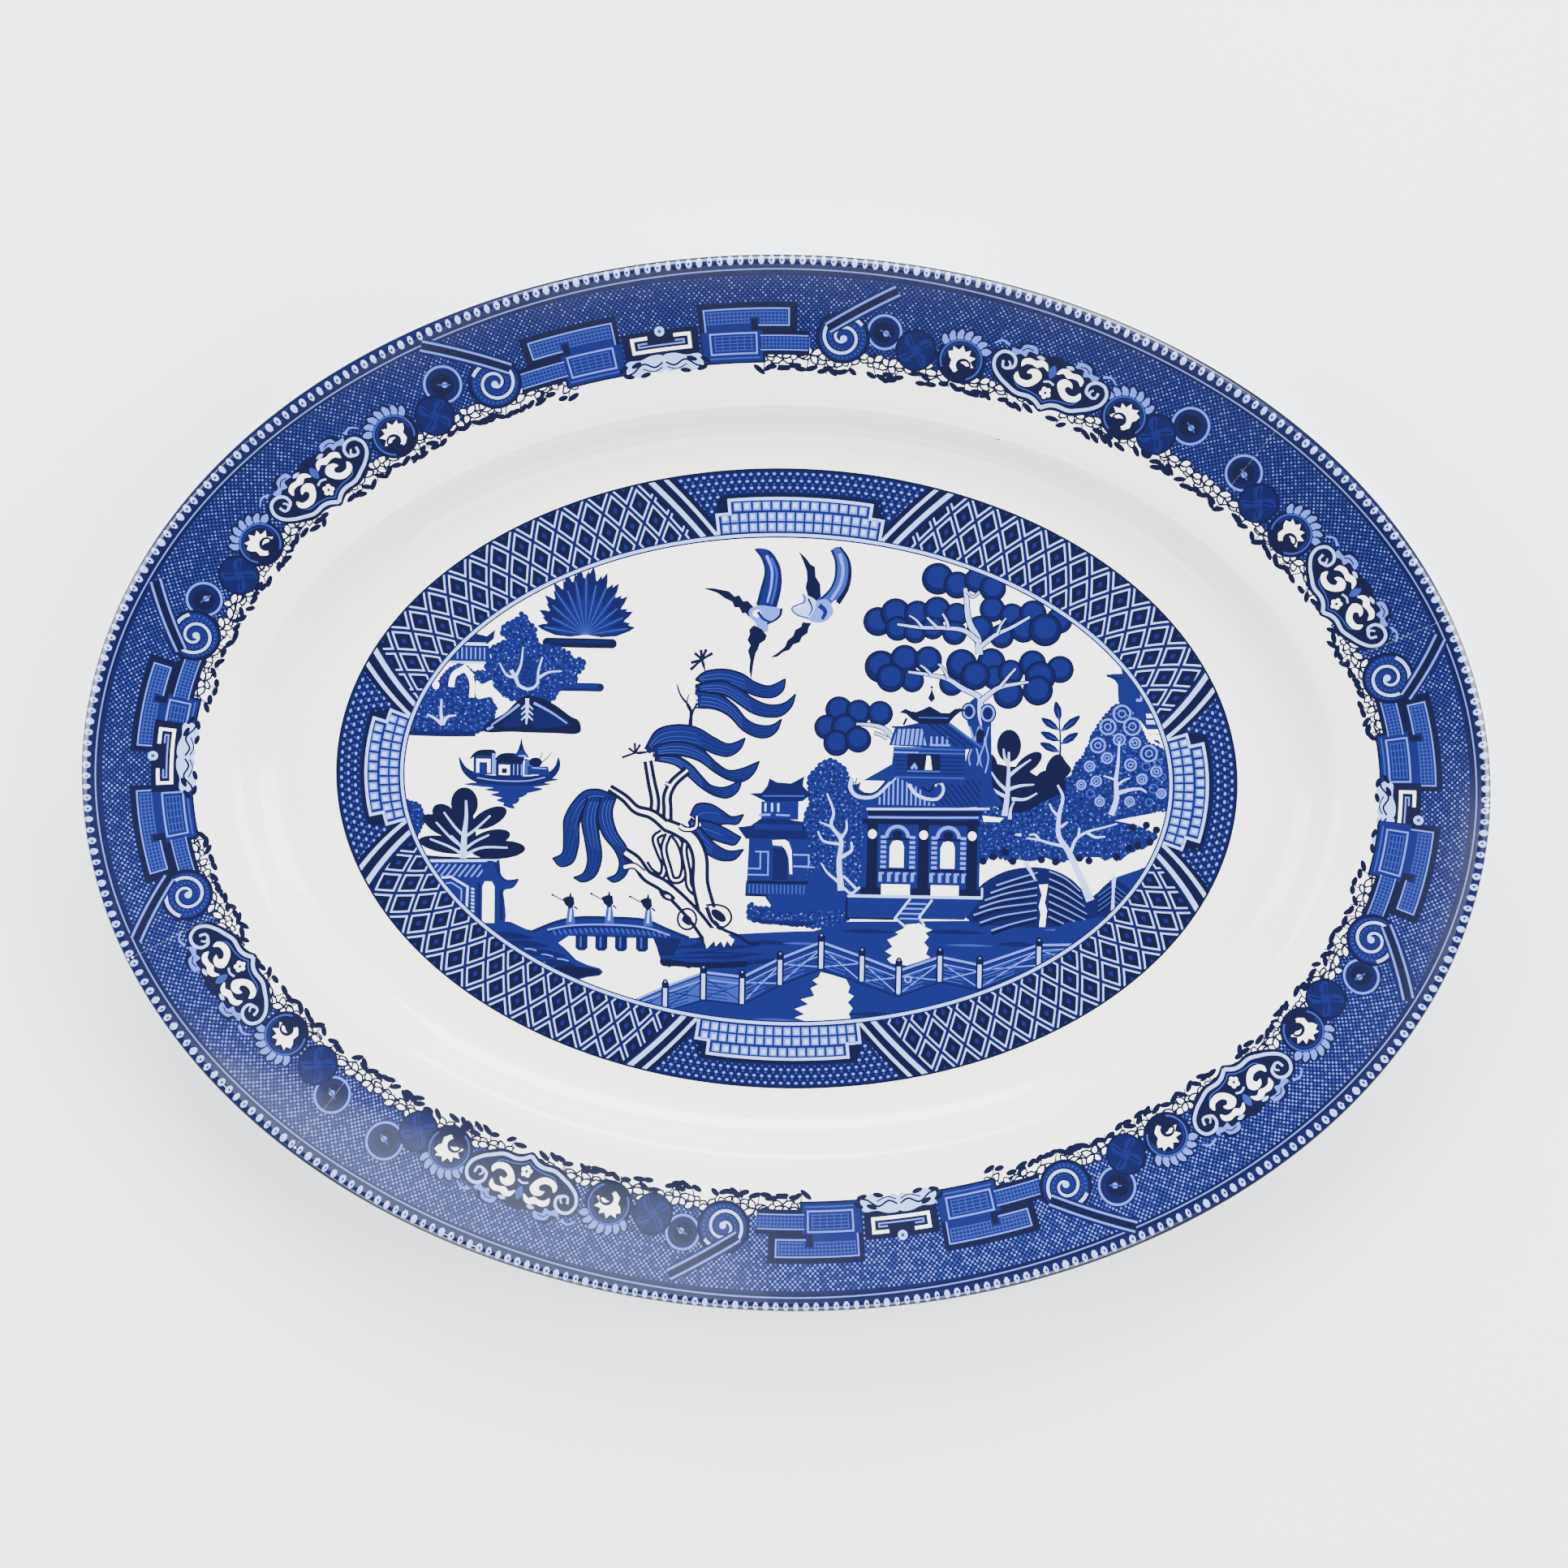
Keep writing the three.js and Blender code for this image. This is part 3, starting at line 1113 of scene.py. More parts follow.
        path = (
            "31.5,-36.5 35,-36 36.5,-37 38.3,-37.7 36.5,-38.5 37.5,-39.5 36.3,-41 37.5,-42.3 36.8,-44 "
            "38,-44.8 35,-46 32,-47 28,-46.5 27,-45.5 28.3,-44.5 26.5,-43.5 28.3,-42.3 27,-40.5 30,-39 "
            "29,-38.5 31,-37.5"
        )
        pen.cut(CLEAR, path)
        path = (
            "10,-49.3 13,-50 16.5,-51 17.5,-53 17,-54.5 18.5,-55.3 17,-57 18.3,-58.5 17.3,-60 18,-61.5 "
            "17,-66 7,-66 6,-62 3.5,-61.3 6,-60.3 3.5,-59 7,-57.7 5,-56.5 8.5,-55.5 7.5,-53.5 9.5,-52.5 "
            "8,-51.5 9.5,-50.5"
        )
        pen.cut(CLEAR, path)

    def draw_left_bank(self) -> None:
        """Draws the far island, upper left, with its fir, its trees, its arch and its cone of rock."""
        pen = self.pen
        foot = (-51.5, 36.4)
        for tone, count, wide, reaches in (
            (DEEP, 34, 3.1, (18, 15, 16.6)), (MID, 13, 1.6, (15.5, 13.5, 14.5)),
        ):
            for i, turn in enumerate(np.linspace(172, 8, count)):
                reach = reaches[i % 3] - abs(turn - 88) * 0.03
                away = math.radians(turn)
                tip = (foot[0] + 0.82 * reach * math.cos(away), foot[1] + reach * math.sin(away))
                pen.leaf(tone, foot, tip, wide)
                if tone == MID:
                    pen.line(SOFT, (foot, tip), 0.15, 0.3)
        pen.line(NAVY, "-61.3,34.3 -44.7,34.3", 2.5)
        pen.disc(NAVY, -61.3, 34.3, 1.25)
        pen.disc(NAVY, -44.7, 34.3, 1.25)
        pen.line(DEEP, "-60.5,34.6 -45.5,34.6", 0.9)
        pen.line(DEEP, "-64,23 -47.7,23", 2.2)
        pen.disc(DEEP, -47.7, 23, 1.1)
        pen.line(MID, "-64,23.2 -48.2,23.2", 1.0)
        self.mass("-97,10.6 -95,16 -92,20.5 -90.5,22.5 -88.5,24 -86.5,26.5 -83,28 -80,26 -78,26.5 -75.5,25 "
            "-76,20.5 -74.5,17.5 -76,13.5 -78.5,11.2 -84,10.6 -90,10.8", 11, 0.9)
        pen.line(DEEP, "-96.5,10.3 -88,10.2 -79.5,10.4", 1.3)
        pen.cut(DEEP, "-88,33.8 -84,35.4 -79.5,36.2 -76.8,35.6 -74.6,37.4 -75,35 -76.5,33.6 -82,33.3")
        pen.cut(MID, "-90,28.5 -85.5,33.2 -76.3,33.2 -75.5,28.5")
        pen.hatch(LIGHT, "-85,29.6 -84,32.6 -76.8,32.6 -76.8,29.6", 90, 1.15, 0.35)
        pen.line(PALE, "-85.8,33.6 -77,33.6", 0.6)
        pen.line(PALE, "-88,28.8 -76.5,28.8", 0.55)
        self.mass("-68,41.5 -66.5,39.5 -64.6,38 -64.5,35.2 -62.6,33 -60,33.2 -57.5,32.5 -55.5,31.5 -55,29.8 "
            "-52.5,30 -52.3,27.5 -54.5,26 -54,24.2 -58,22.8 -60.5,19.5 -66,19.2 -72,20.5 -76,24.5 "
            "-76.5,28.5 -74.5,30 -75.8,32 -73,33.6 -71,34.6 -72.6,36.6 -71.5,38.8 -69.3,39.5", 12, 1.1)
        pen.fill(MID, "-67.5,24.5 -68.3,26.5 -68,30 -66,31 -64.2,28 -64.5,24.5 -66,23")
        pen.stipple(DEEP, points_of("-67.5,24.5 -68.3,26.5 -68,30 -66,31 -64.2,28 -64.5,24.5 -66,23"), 0.9,
            0.4, 8)
        self.bough("-70.5,27 -69.3,25 -68.5,23.2 -66,22.2 -63.9,23.4 -63.5,27 -62.5,30.5", 0.75, 0.4)
        self.bough("-69.5,25.2 -71.5,25.6 -73.5,28.8", 0.6, 0.3)
        self.bough("-69.2,25.5 -68,28.5 -67.5,33", 0.6, 0.3)
        self.bough("-63.6,25 -61,26.6 -57.5,27", 0.6, 0.3)
        pen.fill(NAVY, "-77.5,11.2 -76.8,13 -72,16 -69,19 -66.5,20.6 -60,18.8 -55,15.4 -53,14.4 -52.6,11.4 "
            "-60,11 -70,11.1")
        pen.fill(DEEP, "-71,14.8 -67.5,17.4 -67.2,13 -73,12.6")
        pen.fill(DEEP, "-64.8,17 -60,16.3 -55,13.6 -60,12.4 -64.8,12.6")
        self.bough("-66.3,19.8 -66.3,16 -66.5,13.2", 0.8, 0.4)
        for drop in (17.6, 16.2, 14.8):
            self.bough(f"-66.3,{drop + 0.8} -67.8,{drop - 0.6}", 0.45, 0.25)
            self.bough(f"-66.3,{drop + 0.8} -64.8,{drop - 0.6}", 0.45, 0.25)
        pen.line(LIGHT, "-68.3,18.2 -71.5,15.6 -75.4,12.8", 0.7, 0.4)
        pen.line(LIGHT, "-64.6,18.7 -60,16.3 -56,13.6", 0.7, 0.35)
        pen.line(LIGHT, "-76.6,11.6 -75,12.4", 0.7)
        pen.line(CLEAR, "-85.9,22.4 -85.2,25.4 -83.6,26.6 -82.2,26.8 -80.9,25 -80.4,23 -80.6,19.8", 1.5,
            1.3)
        pen.cut(CLEAR, "-85.6,26 -82.4,28.3 -79.8,25.4 -81,25 -82.4,26.4 -84,25.4")
        pen.fill(CLEAR, "-79.3,24.2 -78,23.2 -75.3,24.3 -75.2,22.8 -73,20.6 -72.6,19.4 -74.5,18.2 -75.5,20 "
            "-79.2,19.6")
        pen.disc(CLEAR, -89.8, 22.8, 0.9, 1.1)
        self.bough("-88,12.6 -88.4,15.5 -88.3,19.2", 0.75, 0.4)
        self.bough("-88,12.6 -90,14.2 -92,15.2", 0.75, 0.4)
        self.bough("-88,12.6 -86.8,14.6 -84.5,15.1", 0.75, 0.4)

    def draw_left_gate(self) -> None:
        """Draws the gatehouse at the lower left, the bush behind it and the land down to the water."""
        pen = self.pen
        pen.cut(MID, "-84,-38.6 -80,-38 -75,-37.7 -70,-38 -66,-39.8 -63,-40.3 -60,-41.5 -56,-44.5 -53,-47.5 "
            "-50,-48.8 -46.8,-49.6 -46,-50.6 -47,-51.6 -50,-52 -53,-52.9 -57,-60 -80,-50 -92,-40")
        for y, left, right in ((-41.5, -78, -64), (-43.6, -73, -60), (-46, -68, -55.5), (-48.4, -64, -53)):
            pen.fill(DEEP, f"{left},{y} {(left + right) / 2},{y + 0.9} {right},{y - 0.6} "
                f"{(left + right) / 2},{y - 0.9}")
        pen.fill(NAVY, "-61,-50.4 -56,-49.2 -51,-49.5 -47.4,-50 -46.6,-51 -50,-51.7 -54,-52.4 -58,-51.8")
        for x, y in ((-66.3, -44.9), (-62, -46.3), (-58, -47.4), (-64, -48)):
            pen.line(LIGHT, f"{x},{y} {x + 1.6},{y - 0.1} {x + 3},{y - 0.5}", 0.3)
        self.mass("-97,-7.5 -94,-8.5 -93,-11.5 -94,-15 -96.5,-17.5 -101,-17 -102,-9", 14, 0.9, MID)
        pen.line(NAVY, "-93.5,-21.6 -85,-21.9 -74,-21.6 -68.5,-20.6", 1.0, 0.6)
        lobes = (
            (-82.2, -7.6, 3.5, 4.2, 0), (-87.4, -10.6, 3.4, 2.5, -35), (-75.8, -11.2, 5, 2.3, 28),
            (-88.2, -13.6, 5.2, 2.2, -28), (-75.2, -16.4, 5, 2.1, 14), (-87, -18.4, 7, 2.2, -8),
            (-73.4, -19.4, 7, 2.4, 4),
        )
        for x, y, wide, tall, turn in lobes:
            Pen(self.sheet, x, y, turn).disc(NAVY, 0, 0, wide, tall)
        pen.cut(NAVY, "-84.5,-10 -80,-10 -78.5,-19.5 -86.5,-19.5")
        self.bough("-82.4,-21.8 -82.2,-16 -81.7,-11 -81.8,-6.8", 1.5, 0.5)
        for tip, base in (
            ("-87.5,-10", -15.5), ("-75.5,-10.6", -15.8), ("-89.5,-12.6", -18.5), ("-75.8,-15.6", -19),
            ("-91,-17", -20.4), ("-71,-18.8", -20.4), ("-85.6,-16", -19.5),
        ):
            elbow = -82.2 + (float(tip.split(",")[0]) + 82.2) * 0.4
            self.bough(f"{tip} {elbow},{base + 1.4} -82.2,{base - 0.6}", 0.35, 0.7)
        pen.cut(MID, "-93,-22 -73,-22 -72.5,-27.5 -76.5,-27.5 -76.5,-38.5 -86,-38.5 -92,-32")
        pen.hatch(LIGHT, "-91,-23.4 -76,-23.4 -78,-26.6 -88,-26.6", 52, 1.25, 0.4)
        pen.line(PALE, "-93,-22.7 -85,-22.5 -73.8,-22.2", 0.65)
        pen.line(PALE, "-90.5,-27.2 -85.6,-26.7 -81.2,-29.2 -81.6,-38", 0.6, curved=False)
        pen.line(LIGHT, "-88.5,-28.6 -85.4,-28.2 -82.8,-29.8 -83,-38", 0.35, curved=False)
        for y in np.arange(-29.6, -38, -0.95):
            pen.line(PALE, f"-80.3,{y} -79.5,{y - 0.25}", 0.5)
        pen.fill(MID, "-76.5,-22.5 -73.5,-22.9 -72.9,-25.4 -71.3,-27 -69.6,-27 -68,-26.8 -69.4,-29.2 "
            "-71.8,-30 -71.6,-33 -71.7,-38.2 -77,-38.2")
        pen.line(DEEP, "-74,-22.9 -73,-25.8 -71.2,-27.4 -68.6,-27.3", 0.9, 0.4)
        pen.line(DEEP, "-72.6,-29.8 -72.4,-37.6", 0.9)
        pen.line(DEEP, "-78.3,-28 -78.3,-38", 0.9)
        pen.cut(CLEAR, "-77.4,-38.4 -77.4,-29 -76.8,-27.7 -75,-27.7 -74.3,-29 -74.3,-38.4")

    def draw_boat(self) -> None:
        """Draws the covered boat and its broken reflection."""
        pen = self.pen
        for y, left, right in (
            (-1.4, -80, -58), (-2.6, -82.5, -60), (-3.9, -77, -62), (-5.2, -75.5, -66), (-6.6, -74, -68),
            (-7.8, -72.4, -70),
        ):
            pen.fill(MID, f"{left},{y} {(left + right) / 2},{y + 1} {right},{y + 0.5} "
                f"{(left + right) / 2 + 2},{y - 0.9}")
        pen.fill(DEEP, "-83.7,4.6 -82,2 -79,0.4 -74,-0.2 -66,-0.2 -61,0.8 -59,2.6 -58.2,5 -57.6,3 -58.4,0.6 "
            "-61,-1.6 -66,-2.6 -74,-2.6 -80,-1.8 -83,1")
        pen.line(LIGHT, "-79,-0.9 -74,-1.5 -66,-1.4 -61.5,-0.4", 0.3)
        pen.cut(MID, "-80,5 -74.8,5 -74.8,0 -80,0")
        pen.fill(NAVY, "-81,3.8 -80,5.4 -78.4,6.3 -74.4,6.2 -74.2,5 -79,4.9")
        pen.cut(CLEAR, "-79.2,4 -75.6,4 -75.6,0.5 -79.2,0.5")
        pen.cut(MID, "-78.5,3.2 -76.4,3.2 -76.4,0.5 -78.5,0.5")
        pen.cut(LIGHT, "-75.2,5.5 -74.2,5.5 -74.2,0 -75.2,0")
        pen.cut(DEEP, "-74.2,3.6 -67.2,3.6 -67.2,-0.4 -74.2,-0.4")
        pen.fill(NAVY, "-74.4,4 -73,5.4 -69,5.6 -67,4.8 -67,3.6 -73.6,3.4")
        pen.cut(CLEAR, "-73.4,2.6 -70.6,2.6 -70.6,0 -73.4,0")
        pen.cut(NAVY, "-72.7,1.7 -71.3,1.7 -71.3,0.4 -72.7,0.4")
        for x in (-69.6, -68.6, -67.6):
            pen.line(LIGHT, f"{x},2.8 {x},0", 0.3)
        pen.cut(MID, "-69.6,4.8 -68.6,6.4 -67.7,9.2 -66.9,6.6 -65.6,4.6")
        pen.line(NAVY, "-67.7,9.3 -67.7,6.4", 0.35, 0.9)
        pen.line(LIGHT, "-68.4,5 -66.5,5", 0.4)
        pen.cut(SOFT, "-66.8,4.4 -65.2,4 -65.2,0 -67,0")
        pen.disc(NAVY, -64, 3.4, 1.7, 1.3)
        pen.cut(MID, "-66,2.4 -60.8,2.4 -60.2,0.2 -66,0.2")
        pen.line(NAVY, "-64,3.5 -62.6,4.8 -62.3,6.2", 0.4, 0.2)
        pen.line(NAVY, "-63.6,2.6 -61,4.6 -59.8,6.4", 0.4, 0.2)
        pen.line(LIGHT, "-64.9,2 -61.2,1.8", 0.35)

    def draw_birds(self) -> None:
        """Draws the two birds at the top."""
        pen = self.pen
        pen.fill(MID, "-8.5,59.2 -5,59 -2.3,55.5 -1.6,51.5 -2.2,47 -3.4,43.5 -7.6,44.6 -6.9,48.3 -5.7,53.7 "
            "-6.6,57")
        pen.line(DEEP, "-8.6,59.2 -6.8,57 -5.8,53.7 -6.9,48.3 -7.7,44.8", 0.5, 0.9)
        pen.line(DEEP, "-5.2,58.8 -2.7,55.5 -2,51.5 -2.6,47 -3.8,43.6", 0.6, 1.1)
        pen.line(LIGHT, "-5.6,57.6 -4.2,54 -4.3,50 -5.2,45.6", 0.8, 0.5)
        pen.line(SOFT, "-4.4,57 -3,53.4 -3.2,49.6 -4.2,45.2", 0.6, 0.5)
        pen.cut(NAVY, "-22,49 -19,49 -15,48.3 -13.6,47 -12.4,47.4 -11.4,45.8 -10.2,46 -8.3,44 -9.6,41.6 "
            "-10.8,42.8 -11.6,42.6 -12.4,44.2 -13.6,44.2 -14.2,45.6 -16,46.4 -18,47.8")
        pen.fill(LIGHT, "-9.8,43.6 -7.5,44.8 -4.5,44.6 -1.7,44 -2.6,41.4 -4.8,40 -5,38.2 -7.4,38.4 "
            "-8.2,40.4 -9.6,41.8")
        pen.fill(CLEAR, "-8.8,43.2 -7.6,43.8 -6.6,42.8 -7.4,41.8 -8.8,42.2")
        pen.line(MID, "-7.6,43.2 -6.2,41.4 -4.2,40.6", 0.9, 0.5)
        pen.line(NAVY, "-5.2,40.2 -3.4,41 -1.9,42.4 -1.6,44.2", 0.5, 0.7)
        pen.cut(NAVY, "-8.6,39.8 -6.6,38.8 -5.2,37.2 -5.6,36 -7,35 -7.4,33.6 -8,32.6 -8.6,29.4 -9,25.8 "
            "-9.6,28 -9.4,31 -10,33.2 -9.4,34.6 -10.2,36 -9.6,37.4 -9.8,38.6")
        pen.cut(NAVY, "2.4,59 4.4,57.2 5.6,55.6 6.8,54.9 7,52.4 8.2,50.6 8.4,47.4 7.2,46.2 5,47.6 4.4,49.6 "
            "4.8,51.6 4.6,54 3.6,56.6")
        pen.fill(SOFT, "11,59.4 13,60.2 15.3,57.4 16,53.5 15.3,49.5 13,45.4 12.3,46.6 8.8,43.4 6.8,45.6 "
            "9.4,48.2 11.6,51 12.3,55.4")
        pen.line(NAVY, "13,60.2 15.2,57 15.7,53.5 15,49.6 12.7,45.8", 0.5, 1.3)
        pen.line(DEEP, "10.9,59.4 12,56.4 11.9,52 10.4,48.8 8,46.4", 0.7, 0.5)
        pen.line(LIGHT, "13,58.4 13.9,54.4 13.2,50.4 11,46.6", 0.9, 0.7)
        pen.fill(LIGHT, "7.2,46.2 10,46.6 11.6,43.6 9.8,41.2 6.6,40.8 4.6,42.2 5.8,44.6")
        pen.line(MID, "8,45.2 9.6,43.6 8.8,41.6", 1.3, 0.8)
        pen.fill(PALE, "3.8,47.6 7,46.4 6.6,43.6 5.4,42 2.6,42.6 1,44 3.6,45")
        pen.line(SOFT, "3.8,48 4.4,46.2 1,44.2 2.4,42.6 5.2,41.8", 0.45)
        pen.line(NAVY, "5.2,46.8 6.2,44.2 5.4,42.4", 0.5, 0.3)
        pen.cut(NAVY, "6.2,40.6 5.4,39.4 5.2,38 3.8,37 3.2,35.6 1.6,35 0.6,33.6 -1,33 -2.4,31.8 -4.4,31.5 "
            "-2.2,33 -0.6,34.4 0,36 1.4,37.2 2,38.8 3.4,39.6 3.8,40.8")

    def draw_willow(self) -> None:
        """Draws the willow, its leaves first and then its trunk and boughs."""
        pen = self.pen
        for tip in ("-23.6,32.4", "-22,33.2", "-20.6,33.4", "-19,32.4", "-24.5,29.8", "-24.6,28"):
            pen.line(NAVY, f"{tip} -21.6,30.4 -20.8,27.6", 0.9, 0.25)
        pen.line(NAVY, "-24.5,13.5 -24.5,18 -27,21.4 -28,24.2", 1.0, 0.4)
        pen.line(NAVY, "-24.6,17.6 -25.4,19.2 -24.9,21.8", 0.6, 0.3)
        pen.line(NAVY, "-24.4,13.6 -24,17 -22.6,19.6", 1.0, 0.5)
        for tip in ("-41.8,5.1", "-40.2,7.6", "-38.6,9", "-37.2,8.6"):
            pen.line(NAVY, f"{tip} -38.2,6.4 -34.4,6.8", 0.7, 0.35)
        self.frond("-23.3,25.5 -21,27.5 -16,28.3 -11.5,27.3 -8,25.2 -4.5,24.3 -0.3,26.2", "-23.3,25.5 "
            "-20,24.3 -16,24.6 -11.5,23.2 -7.5,21.6 -3.3,21.4 -0.8,23.3 -0.3,26.2")
        self.frond("-23.4,24 -20,25 -16,25.2 -12,23.4 -8,20.7 -4,19.4 -0.5,20 2.4,22.4", "-23.4,21.8 "
            "-19,22.2 -15.6,21.6 -12,19.4 -8.5,17.2 -4.5,16.3 -1,16.8 1.4,19.2 2.4,22.4")
        self.frond("-22.8,22.6 -17,21.7 -13,19 -10,15.6 -7,14.2 -3.5,14.3 -1.1,15.9", "-23.4,18.4 -18,18 "
            "-14.5,16.3 -11,12.8 -7.5,11.1 -4.5,11.1 -2.2,12.9 -1.1,15.9")
        self.frond("-36,7.4 -33,12.3 -28,13.8 -23,13.3 -18,10.6 -14.5,9.2 -10.3,10.8", "-35,6.4 -31,8.6 "
            "-27,9 -22,8.2 -18,6.5 -14.5,6 -11.5,8 -10.3,10.8")
        self.frond("-34,8 -29,9.4 -25,9.2 -21,7.4 -17.5,4.2 -14.5,2.4 -11.5,2.8 -6.6,4.9", "-34,5.6 -30,6 "
            "-26,5.8 -22,4.6 -18,1.8 -14,-0.2 -10.5,-0.3 -8,1.8 -6.6,4.9")
        self.frond("-33.4,5.6 -28,5.8 -24,3.6 -21.4,0.8 -19,-1.5 -15.5,-2 -11,0.1", "-33.6,4.6 -28,3.4 "
            "-24.5,0.4 -21.5,-2.2 -18,-4.2 -14.5,-4.7 -12,-2.9 -11,0.1")
        self.frond("-43.4,-5.2 -47,-3.4 -51,-3.6 -54,-6.3 -56.5,-11 -56.6,-16 -57,-20 -59.4,-21.3",
            "-48.6,-6 -51.4,-8 -52.6,-12 -52.8,-18 -54.3,-22.4 -57.4,-23.4 -59.4,-21.3")
        self.frond("-50.6,-5.4 -52,-11 -51,-17 -50.4,-22 -51.5,-25 -54,-26.2", "-46.6,-5.2 -48,-10 "
            "-47.5,-15 -46.8,-21 -48.5,-25.8 -51.6,-27.3 -54,-26.2")
        self.frond("-47,-5.2 -48,-10 -46.5,-15 -43.4,-19 -42.2,-22 -43,-25 -45.4,-26.2", "-43,-4.6 -44.2,-9 "
            "-43,-14 -40.4,-18 -39.4,-21.5 -40.8,-25.6 -43.5,-27.2 -45.4,-26.2")
        self.frond("-24.2,-9.6 -22.6,-6.6 -19,-6.4 -16,-8 -13.6,-9.5 -10.4,-8.9", "-22,-11 -19,-11.4 "
            "-17,-11.6 -14.6,-11.4 -12,-11.4 -10.4,-8.9", (0.4,))
        self.frond("-22,-10.6 -19,-11 -15,-12.6 -12.8,-13.8 -11,-14.8", "-21,-14 -18.4,-15.4 -15.4,-16.4 "
            "-12.6,-16.8 -11,-14.8", (0.5,))
        self.frond("-24,-10 -20.6,-13.6 -17.4,-16.8 -14,-18.4 -10.3,-17.9", "-24.6,-11 -22.6,-16 -20,-19 "
            "-16.5,-20.8 -12.6,-20.6 -10.3,-17.9")
        edge = 1.0
        self.bough("-30,-12.5 -30,-8 -30.1,-4.5 -28.6,-1.2 -25,2.2", 0.9, 0.5, edge)
        self.bough("-33.5,-9.5 -33.2,-6 -34.2,-1 -35.2,4.4", 0.9, 0.5, edge)
        self.bough("-29.6,-12.8 -34,-9.4 -38,-8.2 -41,-5.4 -45,-2.8", 1.3, 0.3, edge)
        self.bough("-29.5,-1.8 -30.8,-1.2", 0.5, 0.3, 0.4)
        for loop in (
            "-31.2,-14 -33,-15.4 -32,-19 -30.6,-22.5 -31.4,-25.4 -34,-24.2 -35.6,-22",
            "-29.7,-14.4 -30.8,-18 -29.6,-23 -28.4,-26.2 -26.4,-26 -25.4,-22 -26.6,-17 -28.6,-14.4 "
            "-29.7,-14.4",
            "-24.6,-14.4 -25.6,-18 -24.6,-24 -24,-28 -22.2,-29.4 -21.2,-27 -21.7,-22 -22.7,-17 -24.6,-14.4",
        ):
            self.bough(loop, 0.5, None, 0.8)
        self.bough("-30.4,-12 -27,-13.4 -23.6,-15.6 -21.6,-20 -21.3,-27 -19.6,-34 -18.2,-42", 1.7, 3.6,
            edge)
        self.bough("-26.8,-12.2 -25.6,-13 -22.8,-12.6 -22.4,-9.6", 0.8, 0.3, 0.5)
        self.bough("-40.8,-19.4 -38,-21.4 -35.2,-25.2 -31,-27.6 -27,-31 -22.6,-35.6 -19.2,-40", 1.0, 2.6,
            edge)
        self.bough("-41,-23.2 -38.4,-22.8 -36,-24.6", 0.9, 0.9, 0.5)
        pen.ring(NAVY, -24.6, -36.3, 2.4, 0.6, 2.7)
        pen.fill(NAVY, "-26,-36.6 -25,-35 -23.4,-36.2 -23.8,-38")
        pen.fill(NAVY, "-32,-29 -30,-29 -27.6,-31 -28.8,-31.8 -31,-31")
        pen.fill(CLEAR, "-30.4,-30.2 -29.2,-30.3 -28.8,-31 -29.8,-30.9")
        pen.line(NAVY, "-19.8,-32.6 -17,-32.4 -14.2,-33.4 -13.2,-36 -15.3,-38.2 -18,-36.6 -19.6,-33.6", 0.6)
        pen.fill(CLEAR, "-19,-33.4 -17,-33.2 -14.6,-34 -13.9,-36 -15.4,-37.6 -17.6,-36")
        Pen(self.sheet, -16.5, -35.2, -38).disc(NAVY, 0, 0, 2.3, 1.2)
        pen.line(NAVY, "-19.6,-33 -18.2,-36.4 -15,-38.9 -11.6,-40.2 -8,-42.4 -6,-42.2", 1.1, 0.7)
        pen.cut(CLEAR, "-20,-38.5 -17,-38.6 -14.5,-39.9 -12.4,-41.4 -13.2,-43 -14.2,-41.6 -15,-43.4 "
            "-15.8,-41.8 -17.2,-43.2 -17.4,-41.6 -19.4,-43.8 -20,-42")

    def draw_bridge(self) -> None:
        """Draws the bridge and the three small figures that cross it."""
        pen = self.pen
        top = "-64.5,-40.4 -58,-37.7 -53,-36.6 -45,-36.4 -35,-36.9 -30,-38.9 -24,-41.2"
        pen.cut(MID, top + " -20,-42 -24,-43 -31.5,-43.5 -32,-41.6 -55,-41.4 -58,-43.5 -64,-42")
        for x in (-51.7, -46.6, -41.5, -36.1):
            pen.cut(DEEP, f"{x - 1.6},-41 {x + 1.6},-41 {x + 1.6},-44.4 {x + 0.8},-45.1 {x - 0.8},-45.1 "
                f"{x - 1.6},-44.4")
            pen.line(SOFT, f"{x - 0.2},-41.4 {x - 0.2},-44.2", 0.5)
        pen.cut(DEEP, "-33.5,-41 -26,-41.4 -28,-46 -31.4,-46")
        pen.line(DEEP, top, 0.8)
        pen.line(LIGHT, "-60.5,-39.9 -55,-38.7 -45,-38.2 -35,-38.8 -29,-40.6", 0.4)
        pen.line(DEEP, "-60.5,-40.6 -55,-39.4 -45,-38.9 -35,-39.5 -29,-41.3", 0.5)
        for x in np.arange(-59, -30, 1.35):
            y = -40.3 + 1.2 * (1 - ((x + 45) / 16) ** 2)
            pen.line(SOFT, f"{x},{y} {x + 0.7},{y - 1.2}", 0.4)
        for x in (-54.7, -44.7, -34.7):
            lift = 0.5 if x > -50 and x < -40 else 0.0
            figure = Pen(self.sheet, x, lift)
            figure.cut(SOFT, "-1.1,-38.4 -0.8,-35 -0.4,-33 0.6,-33 1,-35 1.3,-38.4")
            figure.line(PALE, "0,-37.6 0.2,-34", 0.6, 0.4)
            figure.cut(NAVY, "-2,-31.6 -0.6,-31 0.9,-31.2 1.1,-33.2 0,-34.4 -1.4,-33.2")
            figure.line(NAVY, "0,-31.4 0,-29.9", 0.9, 0.2)
            figure.line(NAVY, "-1,-32.6 -3,-31.6 -4.9,-30.6", 0.35)
            figure.line(MID, "0.9,-33.6 1.9,-34.4", 0.5)
            figure.disc(NAVY, -4.6, -30.8, 0.35)

